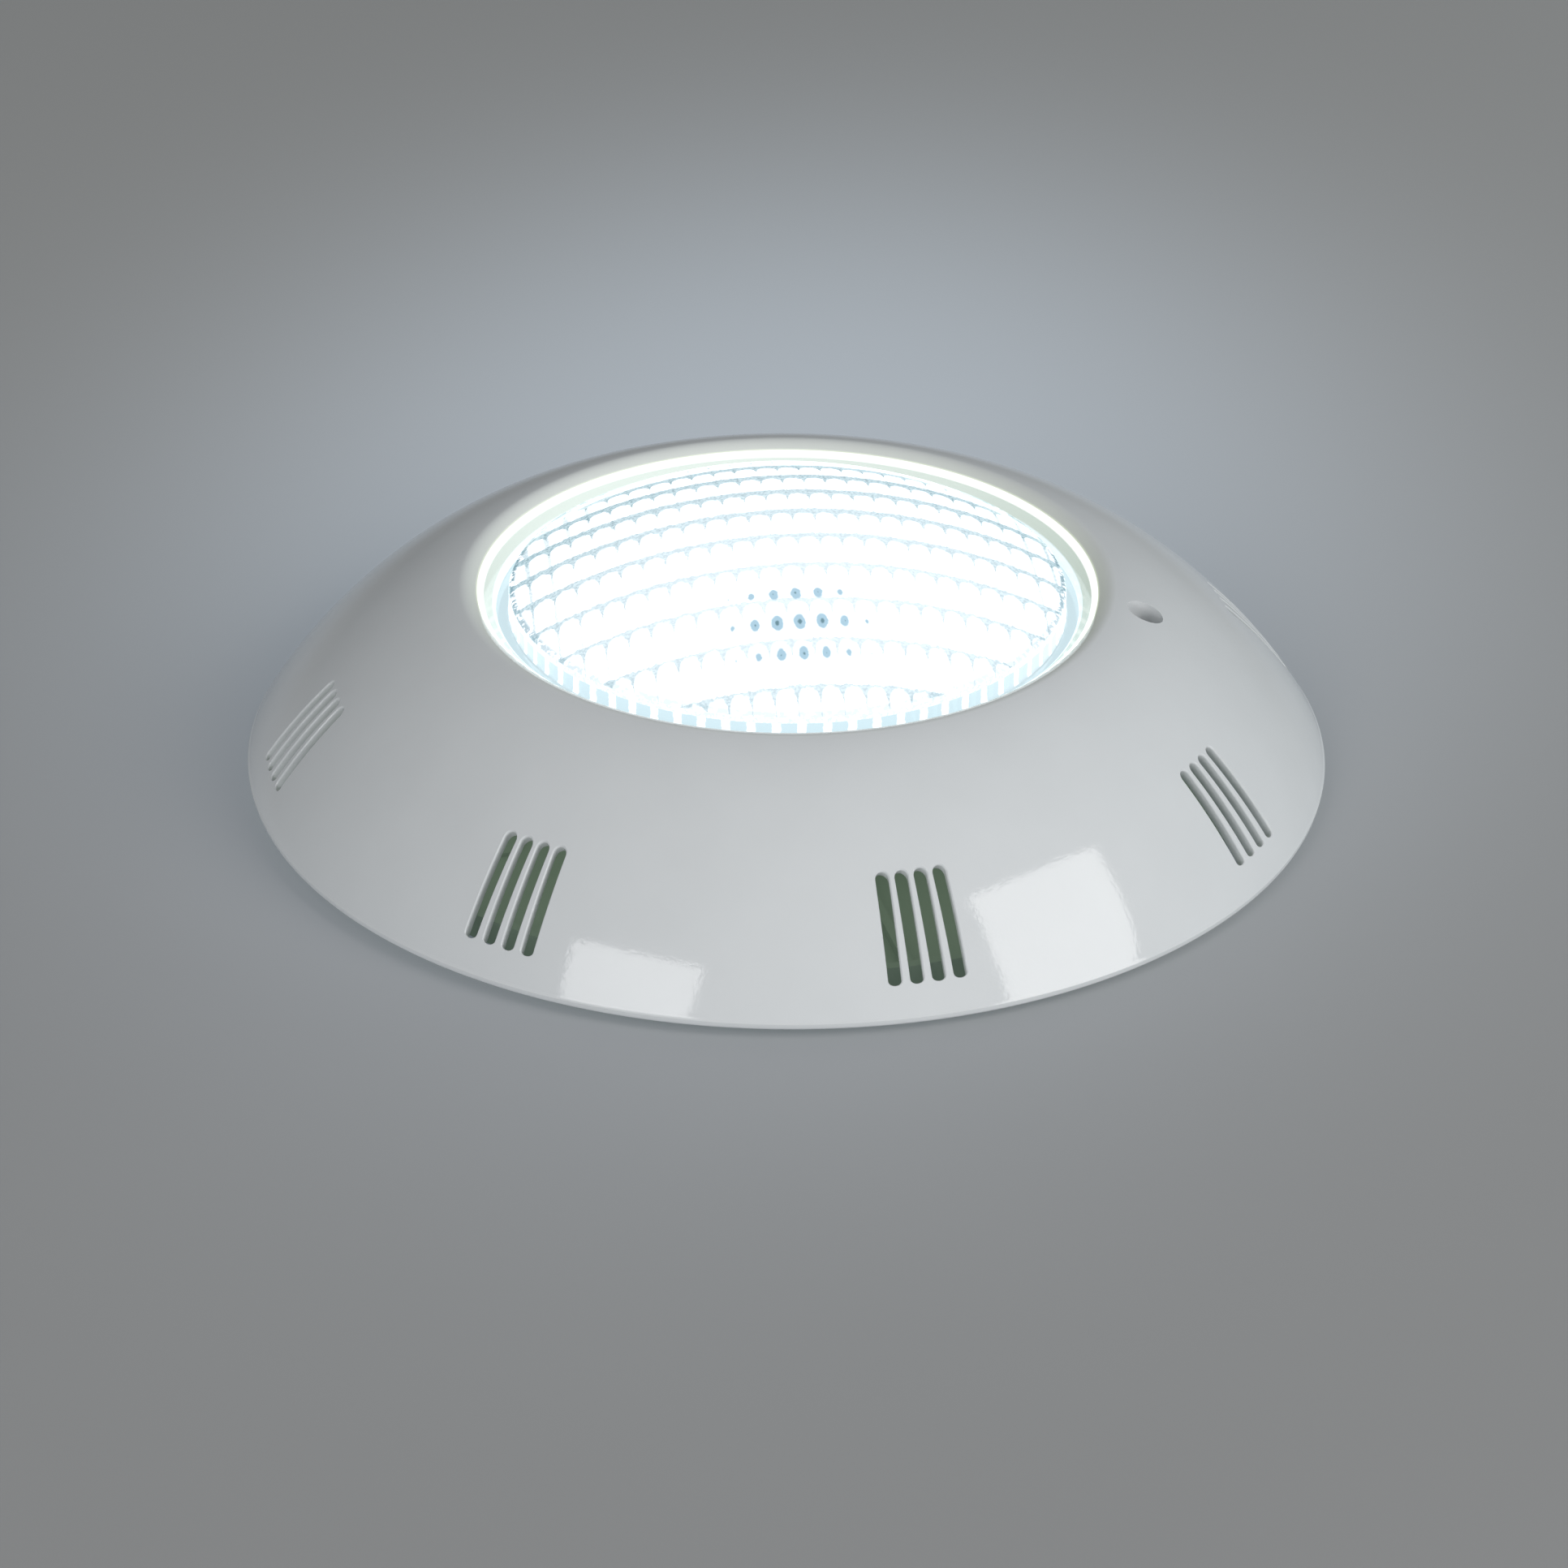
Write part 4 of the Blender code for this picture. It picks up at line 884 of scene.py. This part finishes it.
def prism_field():
    """A block whose top is the lens's inner surface: rows of flutes with a step at each row."""
    mesh = bmesh.new()
    columns = math.ceil(PRISM_FIELD_REACH / COLUMN_PITCH)
    rows = math.ceil(PRISM_FIELD_REACH / ROW_PITCH)
    shares = []
    for i in range(-columns * POINTS_PER_COLUMN, columns * POINTS_PER_COLUMN + 1):
        across = i / POINTS_PER_COLUMN
        from_middle = 2 * abs(across - math.floor(across) - 0.5)
        shares.append((COLUMN_PHASE + across * COLUMN_PITCH, from_middle))
    lines = []
    for row in range(-rows, rows):
        for j in range(POINTS_PER_ROW + 1):
            share = j / POINTS_PER_ROW
            v = ROW_PHASE + (row + share * (1 - STEP_SHARE)) * ROW_PITCH
            line = []
            for u, from_middle in shares:
                depth = THINNEST_PRISM + FLUTE_DEPTH * from_middle ** 2 + STEP_DEPTH * share
                line.append(mesh.verts.new((u, v, dome_height(u, v, depth))))
            lines.append(line)
    for near, far in zip(lines, lines[1:]):
        for i in range(len(near) - 1):
            mesh.faces.new((near[i], near[i + 1], far[i + 1], far[i]))
    rim = lines[0] + [line[-1] for line in lines[1:]]
    rim += list(reversed(lines[-1][:-1])) + [line[0] for line in reversed(lines[1:-1])]
    feet = [mesh.verts.new((vert.co.x, vert.co.y, PRISM_FIELD_FLOOR)) for vert in rim]
    for i in range(len(rim)):
        j = (i + 1) % len(rim)
        mesh.faces.new((rim[i], feet[i], feet[j], rim[j]))
    mesh.faces.new(feet)
    bmesh.ops.recalc_face_normals(mesh, faces=mesh.faces)
    if mesh.calc_volume(signed=True) < 0:
        bmesh.ops.reverse_faces(mesh, faces=mesh.faces)
    return moved(mesh, turn_deg=ROW_TURN_DEG)


def fluted_bar(radius, depth, count, bottom, top):
    """A round bar whose wall has shallow flutes along it."""
    points = count * POINTS_PER_FLUTE
    rings = []
    for height in (bottom, top):
        ring = []
        for i in range(points):
            angle = 2 * math.pi * i / points
            phase = (i % POINTS_PER_FLUTE) / POINTS_PER_FLUTE
            reach = radius - depth * (2 * abs(phase - 0.5)) ** 2
            ring.append((reach * math.cos(angle), reach * math.sin(angle), height))
        rings.append(ring)
    return lofted(rings)


def prismatic_lens():
    """The clear lens: smooth outside, fluted prisms inside the dome and inside the skirt."""
    outer = FLANGE_RADIUS
    inner = FLANGE_RADIUS - FLANGE_CHAMFER
    profile = [
        (0.0, FLANGE_BOTTOM), (inner, FLANGE_BOTTOM), (outer, FLANGE_BOTTOM + FLANGE_CHAMFER),
        (outer, FLANGE_TOP - FLANGE_CHAMFER), (inner, FLANGE_TOP), (SKIRT_RADIUS + 0.8, FLANGE_TOP),
        (SKIRT_RADIUS + 0.25, FLANGE_TOP + 0.2), (SKIRT_RADIUS, FLANGE_TOP + 0.8),
        (SKIRT_RADIUS, SKIRT_TOP - 0.2), (SKIRT_RADIUS - 0.1, SKIRT_TOP + 0.2),
    ]
    profile += dome_line()
    made = plain_object("prismatic_lens_fine", turned(profile, LENS_SEGMENTS, closed=False))
    cavity = plain_object("cavity", prism_field())
    bar = fluted_bar(SKIRT_RADIUS - LENS_WALL, SKIRT_FLUTE_DEPTH, SKIRT_FLUTES, *SKIRT_BAR_Z)
    combine(cavity, "INTERSECT", bar)
    combine(made, "DIFFERENCE", mesh_in_mm(cavity))
    holes = []
    for number in range(1, 7):
        low, high = box_mm(f"lamp_screw_{number}")
        centre = (low + high) / 2
        hole = disc(LAMP_SCREW_HOLE, FLANGE_BOTTOM - 2.0, LAMP_SCREW_HOLE_TOP, 24)
        holes.append(moved(hole, (centre.x, centre.y, 0)))
    combine(made, "DIFFERENCE", group(holes))
    return finished(made, LOOKS["clear_lens"], "cover", ["prismatic_lens"], 22)


# ---------------------------------------------------------------- studio

def direction(azimuth, elevation):
    """The way to something at an azimuth, from -Y towards +X, and an elevation, in degrees."""
    a = math.radians(azimuth)
    e = math.radians(elevation)
    return Vector((math.sin(a) * math.cos(e), -math.cos(a) * math.cos(e), math.sin(e)))


def camera():
    """The photo's camera, which turns about the middle of the cover's foot."""
    data = bpy.data.cameras.new("camera")
    data.lens = CAMERA_LENS
    data.sensor_width = 36.0
    data.clip_start = 0.05
    made = bpy.data.objects.new("camera", data)
    bpy.context.scene.collection.objects.link(made)
    pivot = Vector((0, 0, RIM_HEIGHT * MM))
    made.location = pivot + direction(CAMERA_AZIMUTH, CAMERA_ELEVATION) * CAMERA_DISTANCE
    towards = Vector(CAMERA_AIM) - made.location
    turn = towards.to_track_quat("-Z", "Y").to_matrix().to_4x4()
    roll = Matrix.Rotation(math.radians(CAMERA_ROLL), 4, "Z")
    made.rotation_euler = (turn @ roll).to_euler()
    bpy.context.scene.camera = made


def softbox(name, azimuth, elevation, roll, width, height, radiance, colour):
    """A rectangular studio light that faces the object, rolled about its own direction."""
    data = bpy.data.lights.new(name, "AREA")
    data.shape = "RECTANGLE"
    data.size = width
    data.size_y = height
    data.color = colour
    data.energy = radiance * width * height * math.pi
    made = bpy.data.objects.new(name, data)
    bpy.context.scene.collection.objects.link(made)
    towards = direction(azimuth, elevation)
    sideways = direction(azimuth + 90.0, 0.0)
    upwards = towards.cross(sideways)
    turn = math.radians(roll)
    axis_x = sideways * math.cos(turn) + upwards * math.sin(turn)
    axis_y = upwards * math.cos(turn) - sideways * math.sin(turn)
    made.rotation_euler = Matrix((axis_x, axis_y, towards)).transposed().to_euler()
    made.location = Vector((0, 0, 0.02)) + towards * SOFTBOX_DISTANCE
    return made


def light_under_cover():
    """The dim light that the thin shell lets through onto the bracket; it moves with the cover."""
    data = bpy.data.lights.new("light_under_cover", "AREA")
    data.shape = "DISK"
    data.size = UNDER_COVER_SIZE
    data.color = (0.95, 1.0, 0.86)
    data.energy = UNDER_COVER_WATTS
    made = bpy.data.objects.new("light_under_cover", data)
    bpy.context.scene.collection.objects.link(made)
    made.location = (0, 0, UNDER_COVER_HEIGHT)
    made.visible_camera = False
    made.visible_glossy = False
    made.visible_transmission = False
    made.parent = frame["bodies"]["cover"]
    made.matrix_parent_inverse = frame["bodies"]["cover"].matrix_world.inverted()


def world():
    """Even soft light from all round, dimmer on the side away from the right-hand softbox."""
    made = bpy.data.worlds.new("studio")
    made.use_nodes = True
    tree = made.node_tree
    background = tree.nodes["Background"]
    background.inputs["Color"].default_value = (0.93, 0.97, 1.0, 1.0)
    coordinates = tree.nodes.new("ShaderNodeTexCoord")
    parts = tree.nodes.new("ShaderNodeSeparateXYZ")
    tree.links.new(coordinates.outputs["Generated"], parts.inputs["Vector"])
    brighter = direction(WORLD_BRIGHT_AZIMUTH, 0.0)
    x, y = [Field(tree, parts.outputs[i]) for i in range(2)]
    share = x * brighter.x + y * brighter.y
    strength = tree.nodes.new("ShaderNodeMapRange")
    strength.inputs["From Min"].default_value = -1.0
    strength.inputs["From Max"].default_value = 1.0
    strength.inputs["To Min"].default_value = WORLD_STRENGTHS[0]
    strength.inputs["To Max"].default_value = WORLD_STRENGTHS[1]
    tree.links.new(share.socket, strength.inputs["Value"])
    tree.links.new(strength.outputs["Result"], background.inputs["Strength"])
    bpy.context.scene.world = made


def floor():
    """A plain pale floor just below the bracket, with painted shade that darkens its front and the
    lamp's faint glow painted behind the light.
    """
    mesh = bmesh.new()
    bmesh.ops.create_grid(mesh, x_segments=8, y_segments=8, size=FLOOR_SIZE)
    made = plain_object("floor", mesh)
    made.location.z = -FLOOR_DROP * MM
    look, tree, shader = new_material("floor_paper")
    x, y, _ = place_in_mm(tree)
    # Painted shade: the paper is darker at the front and lighter towards the back.
    front = ramp(tree, noise(tree, 3.0), (0.335, 0.335, 0.335), (0.345, 0.345, 0.345))
    paper = blend(tree, y.step(-250.0, 400.0), front, (0.395, 0.395, 0.39))
    away = length_of((x - PAPER_GLOW_MIDDLE[0]) / PAPER_GLOW_REACH[0],
                     (y - PAPER_GLOW_MIDDLE[1]) / PAPER_GLOW_REACH[1])
    fading = (away ** PAPER_GLOW_POWER * -1.0).exponential()
    tree.links.new(paper, shader.inputs["Base Color"])
    tree.links.new(fading.socket, shader.inputs["Emission Strength"])
    shader.inputs["Emission Color"].default_value = (*PAPER_GLOW, 1.0)
    shader.inputs["Roughness"].default_value = 0.9
    made.data.materials.append(look)


def dress_cad_nodes():
    """Gives every CAD node that is still shown the material of its slot."""
    for name, slot in slot_of_node().items():
        node = frame["nodes"][name]
        for holder in node.material_slots:
            holder.material = LOOKS[slot]


def hide_glow_from_surfaces():
    """The lit board, reflector and LEDs are seen through the lens but light nothing themselves."""
    glowing_nodes = ["led_board", "reflector"] + [f"led_{n}" for n in range(1, 19)]
    for name in glowing_nodes:
        node = frame["nodes"][name]
        node.visible_diffuse = False
        node.visible_shadow = False


camera()
world()
floor()
softbox("key_right", azimuth=69.5, elevation=28.2, roll=-16.5, width=1.28, height=1.64,
        radiance=4.15, colour=(1.0, 0.99, 0.98))
softbox("key_left", azimuth=-24.5, elevation=29.5, roll=6.0, width=1.10, height=1.01,
        radiance=4.1, colour=(1.0, 1.0, 1.0))
fill_back = softbox("fill_back", azimuth=128.0, elevation=18.0, roll=0.0, width=1.6, height=1.0,
                    radiance=1.6, colour=(0.80, 0.95, 1.0))
fill_back.visible_glossy = False
fill_front = softbox("fill_front", azimuth=0.0, elevation=12.0, roll=0.0, width=1.2, height=0.6,
                     radiance=4.5, colour=(1.0, 1.0, 1.0))
fill_front.visible_glossy = False
dress_cad_nodes()
front_cover()
lens = prismatic_lens()
lens.visible_shadow = False
lens.visible_diffuse = False
hide_glow_from_surfaces()
light_under_cover()
bpy.context.scene.view_settings.view_transform = "Standard"
